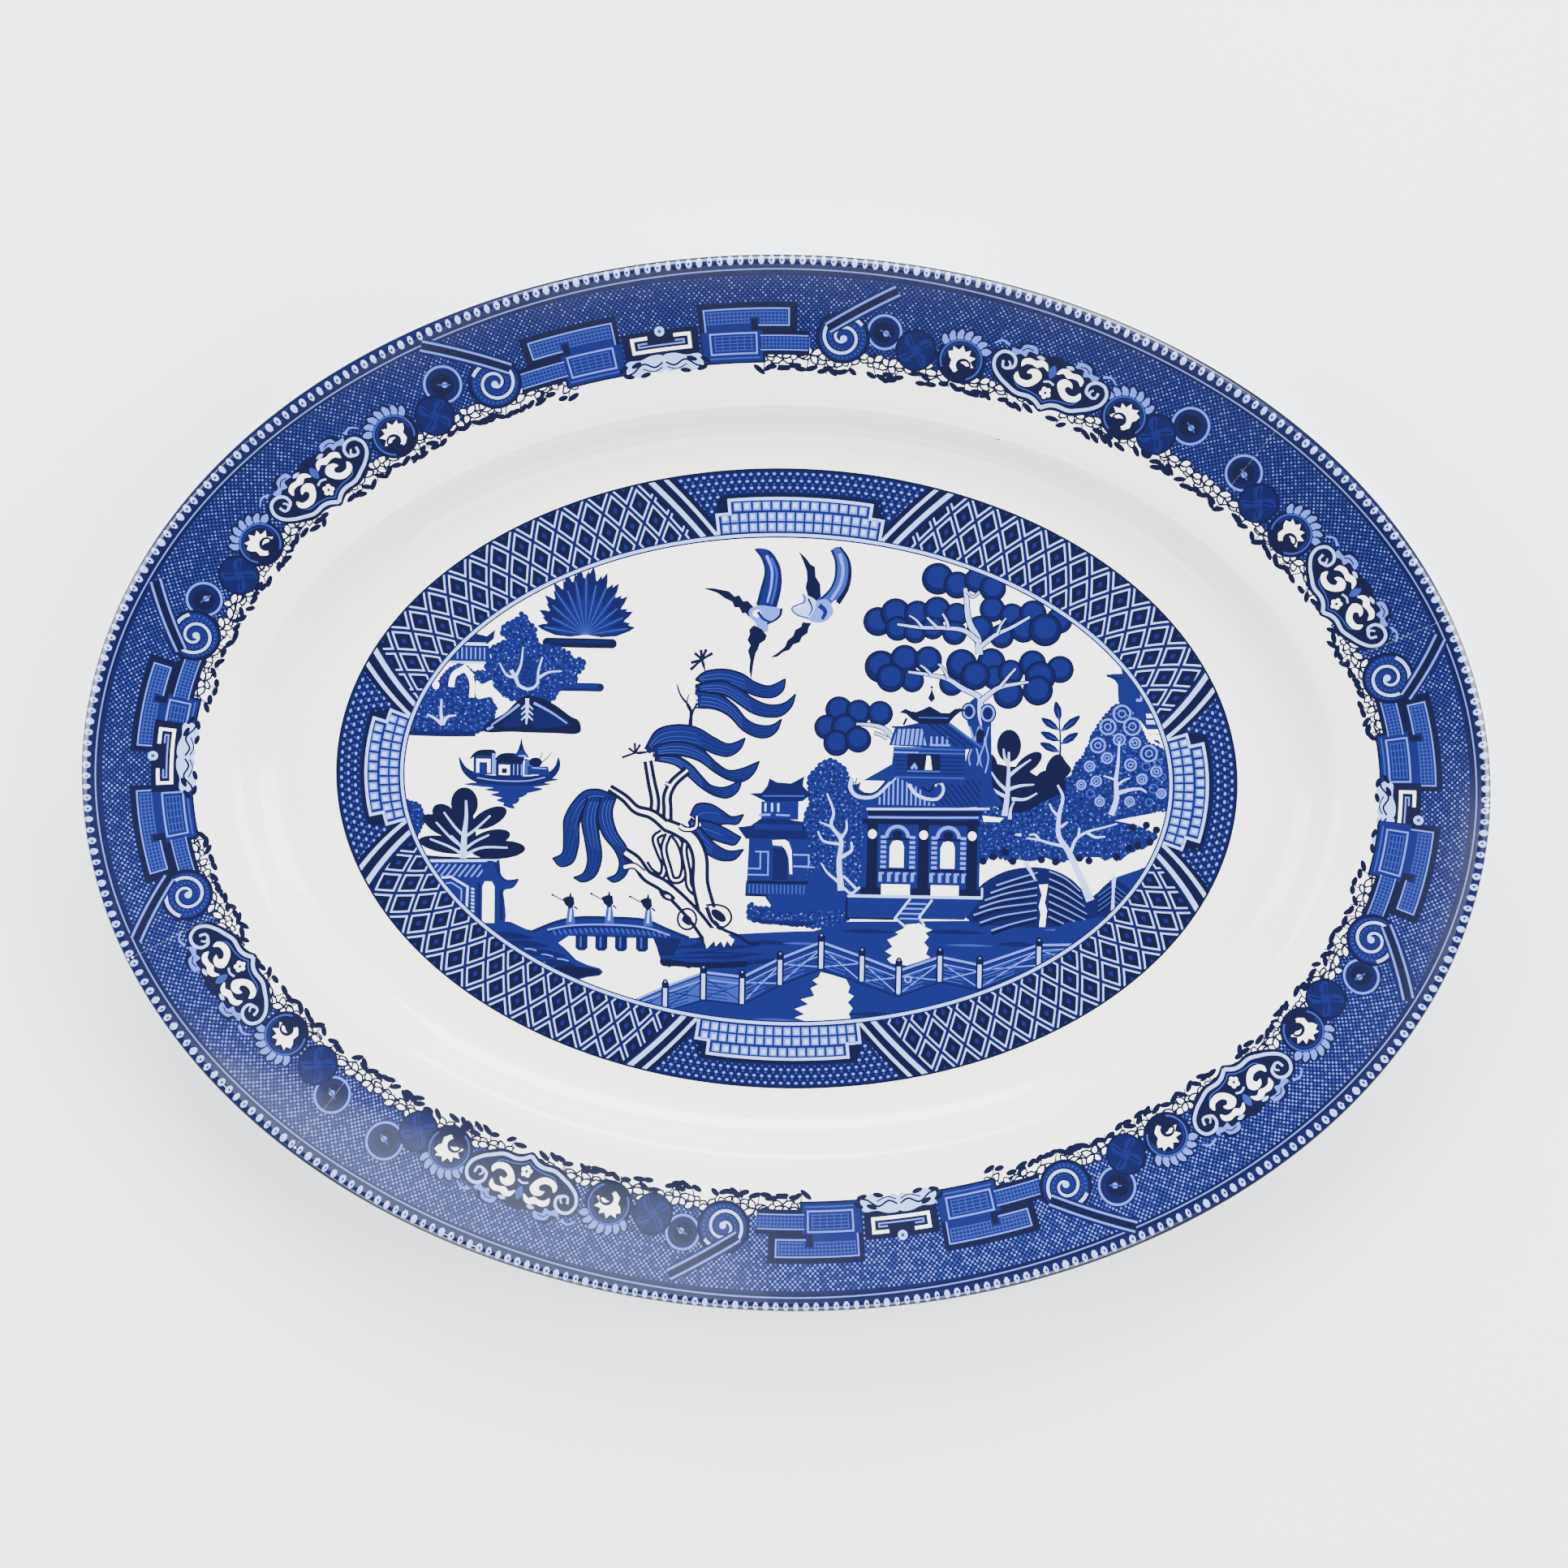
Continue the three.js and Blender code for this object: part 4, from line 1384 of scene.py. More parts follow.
    def draw_small_house(self) -> None:
        """Draws the smaller house left of the pavilion, and the tree beside it."""
        pen = self.pen
        self.mass("11.5,5.3 8.2,3.4 6.2,-0.4 6.8,-5 5,-12 5.5,-22 8.2,-27 15,-28.4 22,-28 22,-20 21.5,-8 "
            "20,-3 16.6,0.6 14.6,3.6", 21, 1.1)
        pen.cut(MID, "-9.5,-26 5.6,-26 8,-22 16.5,-27 16.5,-33 -2,-34 -5,-29.6 -9.5,-29.6")
        pen.cut(DEEP, "-9.2,-3.4 -6,-3.2 -4.6,-1.5 -4,0.6 -2,-0.4 1.5,-0.6 3.4,0.4 5,1.4 4.6,-1.2 6.8,-3.4 "
            "4.6,-5.2 -5,-5.4")
        pen.line(SOFT, "-5.6,-4 5,-3.8", 0.4)
        pen.cut(MID, "-6,-5.4 3.6,-5.2 3.6,-10 -6,-10")
        for x in (-4.9, -3.2, -1.6):
            pen.line(PALE, f"{x},-5.8 {x},-8", 0.5)
        pen.line(LIGHT, "-6.6,-8.9 -3.6,-8.8", 0.6)
        pen.line(LIGHT, "-2.2,-8.8 1.4,-8.9", 0.45)
        pen.cut(DEEP, "-12,-12.2 -8.6,-11.7 -6.2,-9.9 0,-9.8 4.6,-10.4 6.6,-15.2 -9.8,-15.2")
        pen.line(MID, "-7.6,-12 4.6,-12", 1.5)
        pen.cut(MID, "-9,-15 6.4,-15 6,-26.2 -9.4,-26.2")
        pen.line(LIGHT, "-9.3,-22.8 -6,-22.8 -6,-18.4 -4,-18.4 -4,-24.4 -9.4,-24.4", 0.35, curved=False)
        pen.line(LIGHT, "-7.4,-18.4 -4.6,-18.4", 0.35)
        pen.cut(CLEAR, "-3,-15.4 -2.8,-16.6 -0.4,-16.8 0.6,-18 1.3,-20 1.6,-24 2.2,-24 2,-18 1.2,-15.8 "
            "0.2,-15.2")
        pen.cut(DEEP, "-2.8,-17.4 0.2,-17.4 1,-20 1,-25.6 -2.8,-25.6")
        pen.line(LIGHT, "2.4,-19 6.4,-19 6.4,-22 2.4,-22", 0.4, curved=False)
        pen.line(LIGHT, "2.4,-22 8,-22.2", 0.35)
        pen.line(NAVY, "-9.6,-26.3 6.4,-26.2", 0.7)
        pen.cut(MID, "-9.7,-26.6 6,-26.6 6,-29.6 -9.8,-29.6")
        pen.hatch(SOFT, "-9.4,-26.9 5.8,-26.9 5.8,-29.2 -9.4,-29.2", 90, 1.0, 0.35)
        pen.line(NAVY, "-9.8,-29.7 -4,-29.8", 0.6)
        self.bough("14.8,-28 14.2,-20 14.6,-15 12,-11 12.6,-8 10.8,-3", 1.3, 0.4)
        self.bough("14.6,-14.4 15.9,-12.4 15.9,-9.8", 0.6, 0.4)
        self.bough("14.4,-19.6 17.4,-17.4 17.2,-15.4", 0.8, 0.5)
        self.bough("12.1,-11.6 9,-10.4", 0.5, 0.3)
        self.bough("14.2,-16 10,-15.2 8.6,-12.8", 0.6, 0.4)
        self.bough("13.9,-25.6 11.2,-23.4 9.6,-21", 0.6, 0.3)

    def draw_pavilion(self) -> None:
        """Draws the large two-storey pavilion with its steps, columns and curled roofs."""
        pen = self.pen
        pen.cut(MID, "16.3,-29.6 50.5,-29.6 46.5,-34.9 16.3,-35")
        for row, y in enumerate(np.arange(-30.5, -34.8, 0.75)):
            for x in np.arange(17 + 0.5 * (row % 2), 50 - row * 0.5, 1.05):
                pen.line(SOFT, f"{x},{y} {x + 0.45},{y + 0.35}", 0.34)
        pen.line(NAVY, "16.3,-29.8 16.3,-35.1 28.5,-35.1", 0.5, curved=False)
        pen.cut(MID, "19.5,-30 20.5,-9 50.2,-9 50.2,-30")
        pen.cut(NAVY, "20,-9.3 50,-9.3 50,-10.6 20,-10.6")
        for x in (29, 42):
            pen.ring(LIGHT, x, -13.9, 2.75, 0.9)
            pen.cut(NAVY, f"{x - 3.6},-14 {x + 3.6},-14 {x + 3.6},-17.4 {x - 3.6},-17.4")
            pen.disc(NAVY, x, -13.2, 1.3, 1.0)
            pen.cut(MID, f"{x - 4.4},-14.6 {x + 4.2},-14.6 {x + 4.2},-25.4 {x - 4.4},-25.4")
            pen.cut(CLEAR, f"{x - 1.9},-21.7 {x - 1.9},-16.4 {x - 1.2},-15 {x},-14.7 {x + 1.2},-15 "
                f"{x + 1.7},-16.4 {x + 1.7},-21.7")
            for side in (-3.5, 3.9):
                for y in np.arange(-13.9, -22, -1.28):
                    pen.line(LIGHT, f"{x + side - 0.75},{y} {x + side + 0.7},{y}", 0.75)
            for side in (-4.2, -2, 0, 2, 4):
                pen.line(LIGHT, f"{x + side},-23 {x + side},-25.4", 0.85)
                pen.line(LIGHT, f"{x + side},-23.2 {x + side + 0.9},-23.2", 0.5)
            pen.line(NAVY, f"{x - 4.4},-22.4 {x + 4.3},-22.4", 0.6)
        for x in (22.6, 35.7, 48.1):
            pen.cut(NAVY, f"{x - 1.3},-9 {x + 1.3},-9 {x + 1.4},-28 {x - 1.4},-28")
            pen.disc(CLEAR, x, -13.2, 1.1, 1.2)
            pen.cut(NAVY, f"{x - 2.9},-27 {x + 2.2},-27 {x + 2.4},-28.9 {x - 3},-28.9")
        for left, right in ((25.1, 32.4), (37.8, 44.9)):
            pen.cut(CLEAR, f"{left},-26.1 {right},-26.1 {right},-29.1 {left},-29.1")
        pen.line(PALE, "17,-29.3 34,-29.2 51,-29.1", 0.75)
        pen.line(PALE, "50.9,-26.5 50.9,-29.2", 0.5)
        for path in ("13.5,-25.4 17.6,-29.2", "15.4,-24.2 18.8,-27.6", "19.6,-27 17.4,-29"):
            pen.line(PALE, path, 0.6)
        pen.cut(MID, "27.8,-29.8 38.6,-29.8 34.6,-36.2 30,-36.2")
        for y, left, right in ((-31, 31.2, 36.8), (-32.3, 30.4, 36), (-33.6, 29.4, 35.2), (-34.9, 30, 35)):
            pen.line(LIGHT, f"{left},{y} {right},{y}", 0.4)
        pen.line(PALE, "32.6,-29.7 28.8,-34.8 31.2,-36.8", 0.55, curved=False)
        pen.line(PALE, "38.2,-29.9 35,-34.4 36.4,-36.8", 0.55, curved=False)
        pen.cut(MID, "19.6,-9.3 49.6,-9 49.6,-5.9 50.8,-6 20.4,-6")
        pen.cut(NAVY, "21.4,-8.4 49.4,-8 51.4,-6.9 21.4,-7.2")
        pen.line(LIGHT, "21.4,-8.9 36,-8.7 49.6,-8.4", 0.5)
        pen.line(PALE, "21,-6.8 36,-6.5 52.4,-6.1", 0.55)
        pen.cut(MID, "17.4,-1 27.4,5 50,5 56,-5.4 44,-6.1 20,-6.2 19,-4.2")
        pen.hatch(LIGHT, "23,-5.6 27.6,1.4 33.2,1.4 36,-4.4 39.8,-5.6", 90, 1.15, 0.42)
        pen.hatch(DEEP, "37.8,-5.6 41,1.2 50,1.2 50,-5.6", 128, 1.2, 0.5)
        pen.cut(CLEAR, "19.5,0.5 25.8,0.5 24.4,-1.4 22.6,-2.7 20.4,-2.5 19,-1.6")
        pen.line(PALE, "17.2,1.2 16.7,-1.2 17.9,-3.2 20.4,-3.9 23.2,-3.4 26.6,-0.2 28.2,1.4", 1.1, 0.6)
        pen.line(NAVY, "18.4,1.2 18,-1 19,-2.6 21,-2.9 23.2,-2.3 26,0.8", 0.35)
        pen.line(PALE, "31.6,-0.2 33.4,-2.6 36.6,-3.9 39.2,-3.7 40.5,-1.8 40.1,0 38.9,0.4 38.4,-0.6", 0.9,
            0.6)
        pen.line(NAVY, "34.6,-0.6 37,-1.9 38,-0.4 38.6,1.6", 0.5)
        pen.cut(MID, "27.6,9.4 46,9.4 46,-0.2 40.6,0.4 34,-1 28.4,1.6 26.8,0")
        for y in np.arange(1.6, 9.4, 1.05):
            pen.line(SOFT if y < 2 or y > 7.6 else DEEP, f"28,{y} 45.8,{y}", 0.35)
        pen.cut(NAVY, "31.2,2.8 39.6,2.8 39.6,7.6 31.2,7.6")
        pen.line(SOFT, "31.2,3.2 39.6,3.2", 0.5)
        pen.cut(CLEAR, "35.7,3.6 37.5,3.6 37,7.2 36.1,7.2")
        pen.line(LIGHT, "32.2,3.8 33,4.8 33.6,3.8", 0.7, curved=False)
        pen.line(LIGHT, "27.6,9.8 34,9.6", 0.4)
        pen.line(LIGHT, "27.4,8 34,8", 0.35)
        pen.cut(MID, "26.4,9.7 27.8,14.3 34.4,15.8 42,15.8 50.6,9.6 46,9")
        pen.cut(LIGHT, "27.2,9.9 28.4,13.9 34.8,14.1 36,9.9")
        for x in np.arange(28, 36, 1.15):
            pen.line(MID, f"{x},9.8 {x + 0.5},14.2", 0.42)
        pen.line(DEEP, "27,14.4 34.4,14.6", 0.5)
        for x in (37.2, 38.6, 40, 41.2):
            pen.line(LIGHT, f"{x},10.2 {x},12.2", 0.5)
        pen.line(LIGHT, "36.8,10 42,10", 0.5)
        pen.hatch(DEEP, "36,15.4 41.6,15.4 50,9.8 43,9.8", -36, 1.15, 0.5)
        pen.line(SOFT, "41.5,15.6 50.2,9.6", 0.4)
        pen.cut(NAVY, "28.9,18.2 30.4,19.2 31.8,18.6 33.2,18.4 35,19.2 36.6,20 38,19.2 39.6,18.3 41.6,18.3 "
            "43,19.4 44.4,19.6 46.4,19 44.4,18.6 43,17.4 41.4,15.4 34.2,15.4 32.2,16.4 30.6,17.8")
        pen.line(SOFT, "33.8,17 41.4,17", 0.35)
        pen.line(NAVY, "30,15 30.8,16.8", 0.6)
        pen.cut(NAVY, "37,24.9 37.4,23.4 38,22 37,20.9 36.1,22 36.7,23.4")
        pen.disc(NAVY, 37, 24.8, 0.35)

    def draw_round_tree(self) -> None:
        """Draws the tree of round tufts behind the pavilion, and the tufts that reach out on its left."""
        tufts = (
            (38, 52.5, 3.6), (43, 51, 3.1), (48, 52.3, 2.9), (52, 50.3, 3),
            (23, 41.3, 3.3), (27.5, 43.5, 3.4), (33, 43.5, 3), (38, 44.5, 3.1), (43, 43.5, 2.7),
            (28, 39.6, 2.8), (32.5, 38.8, 2.6), (37, 39.9, 2.6), (42.5, 38.8, 2.8), (52, 45, 2.9),
            (57, 43.5, 2.8), (62.3, 44, 3.1), (69, 42.5, 3), (49, 40, 3), (54.5, 38.2, 2.8), (60, 40, 3),
            (65.5, 40, 3.7), (24, 29.8, 3.7), (30, 31.8, 3.3), (36, 31.8, 3.1), (32, 26.4, 2.7),
            (26.5, 27, 3.3), (42, 25.8, 2.8), (44.5, 30.8, 3.5), (52, 31.5, 3.2), (53, 27.6, 2.8),
            (48, 28, 3.3), (57, 29, 2.9), (62.5, 31.3, 3.1), (69.5, 30, 3.1), (64.5, 28, 3.5),
            (56.5, 23.5, 3.4), (64, 24.5, 3.4), (13.5, 18.5, 3.1), (18.5, 18, 2.9), (24, 17.8, 2.9),
            (10.5, 14, 2.9), (15, 14, 3.1), (13, 10, 3), (18.5, 11, 3),
        )
        for x, y, radius in tufts:
            for tone, share, lift in (
                (NAVY, 1.0, 0.0), (DEEP, 0.87, 0.03), (MID, 0.66, 0.1), (MID, 0.4, 0.14),
            ):
                self.pen.disc(tone, x, y + 1.15 * radius * lift, 1.15 * radius * share)
        for path, wide, end in (
            ("45,50.2 45.4,47.6 45.7,44 46.5,41 48.4,37.6 49,33.4", 0.9, 1.7),
            ("48.6,36.8 45,39.4 40,40 34,40 28,40.7", 1.1, 0.5), ("41,40 40.4,42 39.4,43.6", 0.7, 0.4),
            ("38,40.2 36.5,41.6 35.5,42.6", 0.7, 0.4), ("34.2,40.2 32.6,42 31,43", 0.6, 0.3),
            ("49.4,35.6 53,38.5 57,40.5 61.5,43.2", 1.0, 0.5), ("53.4,38.8 54.2,41 55.5,42.8", 0.6, 0.3),
            ("49.6,19.4 49.4,21.4 49,22.6 45,24.6 41,27 36,28 31,28.6", 1.4, 0.5),
            ("41.2,27 40,29.4 38.6,30.8", 0.7, 0.4), ("36.8,28 35.2,29.6 34,30.4", 0.6, 0.3),
            ("49.6,21.6 54,25 58,26 61.5,26.6", 1.2, 0.5), ("54.5,25.4 56.5,28 58.2,30", 0.7, 0.4),
            ("18,15 22,14.8 25,14 27.6,11.4", 0.5, 1.1), ("22.4,12.8 24,12.4 26,11.4", 0.5, 0.7),
            ("48.6,49.4 47,48 45.6,49.2", 0.5, 0.4),
        ):
            self.pen.line(NAVY, path, wide + 0.6, end + 0.5)
            self.pen.line(PALE, path, wide, end)
        pen = self.pen
        pen.fill(MID, "46.6,21 48.4,22.4 49.8,20 52,21 52.4,14 52.6,6 52,-4 46,-4 46,6 47.4,12 46,17")
        for x, sway in ((47.4, 0.6), (48.8, -0.5), (50.2, 0.6), (51.4, -0.4)):
            path = " ".join(f"{x + sway * math.sin(y * 0.7)},{y}" for y in range(-3, 17, 2))
            pen.line(LIGHT, path, 0.35)
        pen.disc(NAVY, 49.6, 12.6, 1.1, 1.8)
        for x, y, radius in ((46.6, 18.8, 1.7), (51.4, 18.4, 1.9)):
            pen.disc(DEEP, x, y, radius + 0.3, radius + 0.7)
            pen.ring(LIGHT, x, y, radius - 0.35, 0.5, radius)
        pen.line(PALE, "49.3,21.6 49.2,18 49.8,15.2", 1.0, 0.4)

    def draw_right_bank(self) -> None:
        """Draws the right bank, with its curling shrubs, tall leaves, berry trees and striped mounds."""
        pen = self.pen
        pen.cut(MID, "84.6,32.2 86.2,31 88,30.4 94,27 102,22 98,10 94,12 92,15 88,20 84.5,22 84.2,26.4 "
            "83.6,27.4 81.2,28.8 83,29.2 85.3,29.3")
        pen.line(DEEP, "81.4,28.8 84,28 86,28.4", 0.8, 0.3)
        pen.line(DEEP, "84.4,32.2 87,30.9 89,31", 0.6, 0.3)
        pen.line(LIGHT, "89,22.6 90.2,22.6 89.6,27.6", 0.8, 0.3)
        for y in (18.6, 17, 14.6):
            pen.cut(CLEAR if y != 17 else PALE, f"91.6,{y + 0.5} 95.6,{y + 0.6} 95.6,{y - 0.5} "
                f"91.8,{y - 0.5}")
        shrub = (
            "72.5,2 74.5,6 77,9.6 78.4,13.4 80.6,17.4 83.4,20.4 86,21.4 88.6,20 90,15.6 92,12 96,9.6 100,4 "
            "100,-5 95,-5.4 90,-7.6 84,-9 76,-9.5 66,-9 60,-6 64,0 69,3"
        )
        self.mass(shrub, 31, 0.9)
        curls = (
            (85.5, 19, 2.1), (82, 15.6, 1.9), (88.2, 15.8, 2.1), (79.6, 10.8, 1.8), (92.6, 9, 2),
            (85, 12.4, 1.4), (89, 11.6, 1.3), (82, 7.6, 1.3), (88, 6, 1.4), (94.6, 4.4, 1.3),
            (77.6, 5.4, 1.2), (79.4, 1.6, 1.2), (91, 2.4, 1.2), (75.6, 0.6, 1.1), (96, -1.2, 1.1),
            (88, -3.4, 1.1), (80.4, -3.6, 1.1),
        )
        for x, y, radius in curls:
            pen.ring(LIGHT, x, y, radius, 0.5)
            pen.ring(LIGHT, x, y, radius * 0.42, 0.3)
        for x, y, radius in (
            (94, 0, 1.1), (96, 3, 1), (92, 5.6, 1), (78, -1.6, 1), (84, -6, 1), (93, -3.6, 0.9),
            (95, 6.6, 0.8),
        ):
            pen.ring(SOFT, x, y, radius, 0.35)
        self.bough("83.4,-7 84.6,-3 84.4,2 84.8,6 85,12", 1.2, 0.4)
        self.bough("84.8,-1.4 88,-0.4 91,-0.2 92.2,-1", 0.9, 0.4)
        self.bough("84.5,2 82.6,2.6 81.2,3", 0.5, 0.3)
        self.bough("84.7,0.6 86.4,2 88,2.6", 0.5, 0.3)
        pen.cut(CLEAR, "93,14 96.5,13.8 98,9.4 96.6,9.6 95,12.4 93,12.8")
        self.mass("50.4,-5 56,-7 62,-4 66,-1 72,-2 80,-7 84,-9.4 90,-9.6 94,-11 94.5,-14 90,-15.4 "
            "86.4,-17.6 83,-19 80,-18 74,-18 69,-19.4 64,-18.6 58,-19 54,-18.4 50.4,-19", 32, 1.0)
        pen.cut(CLEAR, "84.6,-8.4 90,-7.2 94,-6.4 99,-6 98,-12 95,-11.6 93,-10.6 90,-9.4")
        pen.cut(CLEAR, "50.3,-20 54,-19 57,-20.4 60,-19 63,-19.6 67,-18.4 71,-20 74,-18.6 76.4,-20 77,-18 "
            "80.6,-18 82.2,-19 84,-18 85.4,-19.4 88,-17 92,-15.6 95.6,-12.6 98,-16 93,-20 88,-21.6 "
            "84.6,-22.6 82,-24.8 79,-25.8 76,-24.4 72.8,-21.6 68,-21 60,-21.8 55,-23.4 50.3,-26.6")
        for x, y in (
            (51, -19.6), (53.6, -18.4), (56.6, -17.2), (58.6, -19.5), (65.9, -18.9), (69.5, -19.4),
            (75.6, -18.3), (78, -18.9), (85, -17.8), (88.2, -15.4), (90.4, -14.6), (93.4, -13.8),
            (89, -10), (92.4, -9.4), (95, -10.6),
        ):
            pen.disc(NAVY, x, y, 1.0)
        self.draw_mounds()
        self.draw_tall_leaves()
        self.bough("78.6,-29.2 77,-25.4 74.6,-20.4 72.6,-16.4 70.2,-12.6 70.2,-7 71,-2.6 69.6,0.4", 1.7,
            0.5)
        for path in (
            "72,-15.4 68,-14.6 65,-13.8 62,-13.4", "65.4,-14 64,-12.4 62.6,-12.6",
            "73.4,-16.6 74.6,-13.4 77.6,-11.4 81,-10.4 85,-9.2", "77.4,-11.6 79.4,-12.8 82,-12.6",
            "75.2,-13 75.4,-10.4", "70.4,-8 68.4,-6 67.6,-4.4", "70.6,-10.4 72.4,-9", "60.6,-12.6 59,-12.6",
        ):
            self.bough(path, 0.65, 0.35)
        self.bough("61.8,-19.6 63,-21.6 64.4,-24", 0.9, 0.5)

    def draw_mounds(self) -> None:
        """Draws the striped mounds and the white posts in front of them."""
        pen = self.pen
        first = (
            "47,-34.4 48.6,-29 50.4,-26 55,-22.8 60,-21.2 66,-20.9 70,-21.8 74,-24 76.6,-26.4 80,-28.2 "
            "84,-28.6 82.6,-33.4 72,-35.8 60,-36.4"
        )
        second = "79,-28.4 80.4,-27 83,-24.4 85,-23.6 87.6,-25.2 91,-28.2 84,-32.6 80,-31"
        pen.fill(DEEP, first)
        pen.cut(MID, "83,-24 86,-22.6 92,-20.4 96,-18 92,-27 88,-25.4")
        for i in range(7):
            y = -23.4 - 1.95 * i
            left = 54.5 - 1.4 * i if i < 5 else 47.5 + (i - 4) * 3
            pen.line(LIGHT, f"{left},{y - 2.4} {left + 5},{y - 0.6} 65,{y + 1.2}", 0.45, 0.3)
            pen.line(NAVY, f"{left},{y - 3.2} {left + 5},{y - 1.4} 65,{y + 0.4}", 0.9, 0.5)
            pen.line(LIGHT, f"68,{y + 1.6} 72,{y - 0.2} {76 + i * 0.6},{y - 3.4}", 0.35, 0.25)
            pen.line(NAVY, f"68,{y + 0.8} 72,{y - 1} {76 + i * 0.6},{y - 4.2}", 0.9, 0.5)
        pen.cut(MID, "72,-35.2 83,-33 90,-30 92,-33 80,-40 66,-40")
        pen.fill(DEEP, second)
        for i in range(4):
            pen.line(NAVY, f"80.4,{-28.4 - 1.3 * i} 84.4,{-25.6 - 1.3 * i} 89,{-28.6 - 1.3 * i}", 0.7,
                curved=False)
            pen.line(SOFT, f"80.6,{-28 - 1.3 * i} 84.4,{-25 - 1.3 * i} 88.6,{-28 - 1.3 * i}", 0.3,
                curved=False)
        pen.cut(CLEAR, "65.4,-25.4 67.7,-25.2 67.4,-27.4 67,-30 67.6,-32 67.2,-36.2 65.7,-36.2 66,-33 "
            "65.5,-31 66.2,-28")
        pen.cut(PALE, "83.9,-23 85.1,-22.8 84.7,-27 84.8,-31.4 83.9,-31.6 84.1,-27")

    def draw_tall_leaves(self) -> None:
        """Draws the dark big-leafed plant beside the pavilion and the sprig to its right."""
        pen = self.pen
        pen.fill(NAVY, "50.6,3 53,5.4 57,5 61,4.6 64.6,2.6 70,3.4 71.6,-0.6 66,-4 62,-6.4 58,-7 54,-5.6 "
            "50.4,-2.4")
        for x, y, wide, tall, turn in (
            (57, 10.2, 3.1, 4.2, 0), (62, 5.8, 4.2, 2, 40), (52.6, 5.2, 1.6, 3, 12),
            (53, -1, 3, 1.6, -30), (62.6, 0, 3.4, 1.7, 14), (66.4, 2.6, 2.4, 1.5, 20),
            (51.8, 1.6, 1.8, 1.4, 0),
        ):
            Pen(self.sheet, x, y, turn).disc(NAVY, 0, 0, wide, tall)
        self.bough("56.2,-7.8 56.8,-3 57,2 57,8.6", 1.2, 0.5)
        for path in (
            "57,2.4 59.6,4.6 62.6,6.8", "56.8,-1.4 54.6,0.6 52.6,3.4", "56.6,-3 54,-1.6 51.4,0.4",
            "57,-1 60,0 63.6,0.4", "57,5 56,7 55.6,9.4", "58,-3.4 61.4,-3.4 64.4,-1.8",
            "57.6,-8.6 57.8,-6 58.6,-4",
        ):
            self.bough(path, 0.75, 0.35)
        pen.cut(CLEAR, "50.6,-7.9 56,-8.4 55,-9.4 51,-9.4")
        pen.line(DEEP, "69.4,2 70,8 70,12 69.6,17", 0.7, 0.4)
        pen.fill(NAVY, "68,7.6 70,8.4 71.6,6.4 73,4.4 71,2 67,2.4 66.4,4.4")
        for start, tip in (
            ((69.8, 16.6), (68.6, 22)), ((69.8, 14.4), (64.9, 17.6)), ((69.9, 14), (75, 18.4)),
            ((70, 11.6), (64.8, 14)), ((70, 10.8), (74.6, 14)), ((70, 8.8), (64.7, 11.2)),
        ):
            pen.leaf(DEEP, start, tip, 2.1)
            pen.line(SOFT, (start, (np.array(start) * 0.35 + np.array(tip) * 0.65)), 0.2, 0.15)

    def draw_fence(self) -> None:
        """Draws the fence along the near bank."""
        pen = self.pen
        posts = (
            (-30, -53, -60.6), (-20.2, -49, -57.2), (-10.2, -50, -58.2), (-0.5, -45, -53),
            (10, -40, -48.5), (20.5, -43.5, -51.6), (30, -46, -54.6), (40.5, -43, -51.2),
            (50.7, -45, -52.6), (65.8, -40, -46.2),
        )
        tops = (
            "-38.5,-58 -30,-54 -20,-50 -10,-51 -0.5,-46 10,-41.5 20.4,-45 30,-48.5 40.5,-44.6 50.7,-46.5 "
            "65.5,-41 76,-40.6"
        )
        feet = (
            "-38.5,-61.6 -30,-60.4 -20,-57.2 -10,-58.2 -0.5,-53 10,-48.5 20.4,-52 30,-55.2 40.5,-51.2 "
            "50.7,-53 65.8,-46.6 72,-44.6"
        )
        top, foot = points_of(tops), points_of(feet)
        for i in range(len(top) - 1):
            a, b, c, d = top[i], top[i + 1], foot[i + 1], foot[i]
            if i < 3:
                pen.cut(SOFT, np.array([a, b, c, d]))
            for share in (0.26, 0.48) if i in (3, 4, 9, 10) else (0.26,):
                pen.line(LIGHT, np.array([a + (d - a) * share, b + (c - b) * share]), 0.26)
            pen.line(MID if i < 3 else LIGHT, np.array([a + (d - a) * 0.92, b + (c - b) * 0.25]), 0.3)
            pen.line(MID if i < 3 else LIGHT, np.array([a + (d - a) * 0.2, b + (c - b) * 0.92]), 0.3)
            for share in np.linspace(0.34, 0.88, 5):
                start, end = a + (d - a) * share, b + (c - b) * share
                pen.line(DEEP if i < 3 else SOFT, np.array([start * 0.93 + end * 0.07,
                    start * 0.4 + end * 0.6]), 0.22)
        pen.line(LIGHT, top, 0.6, curved=False)
        pen.line(DEEP, top - (0, 0.55), 0.35, curved=False)
        pen.line(DEEP, foot, 0.5, curved=False)
        pen.ring(LIGHT, 32.4, -50.6, 0.8, 0.4)
        for x, high, low in posts:
            pen.line(NAVY, f"{x},{high + 0.2} {x},{low}", 1.9)
            pen.line(PALE, f"{x},{high - 1.4} {x},{low + 0.2}", 0.95)
            pen.disc(NAVY, x, high + 0.3, 0.75)
            pen.disc(LIGHT, x, high + 0.3, 0.3)


# ---------------------------------------------------------------- the printed band round the scene


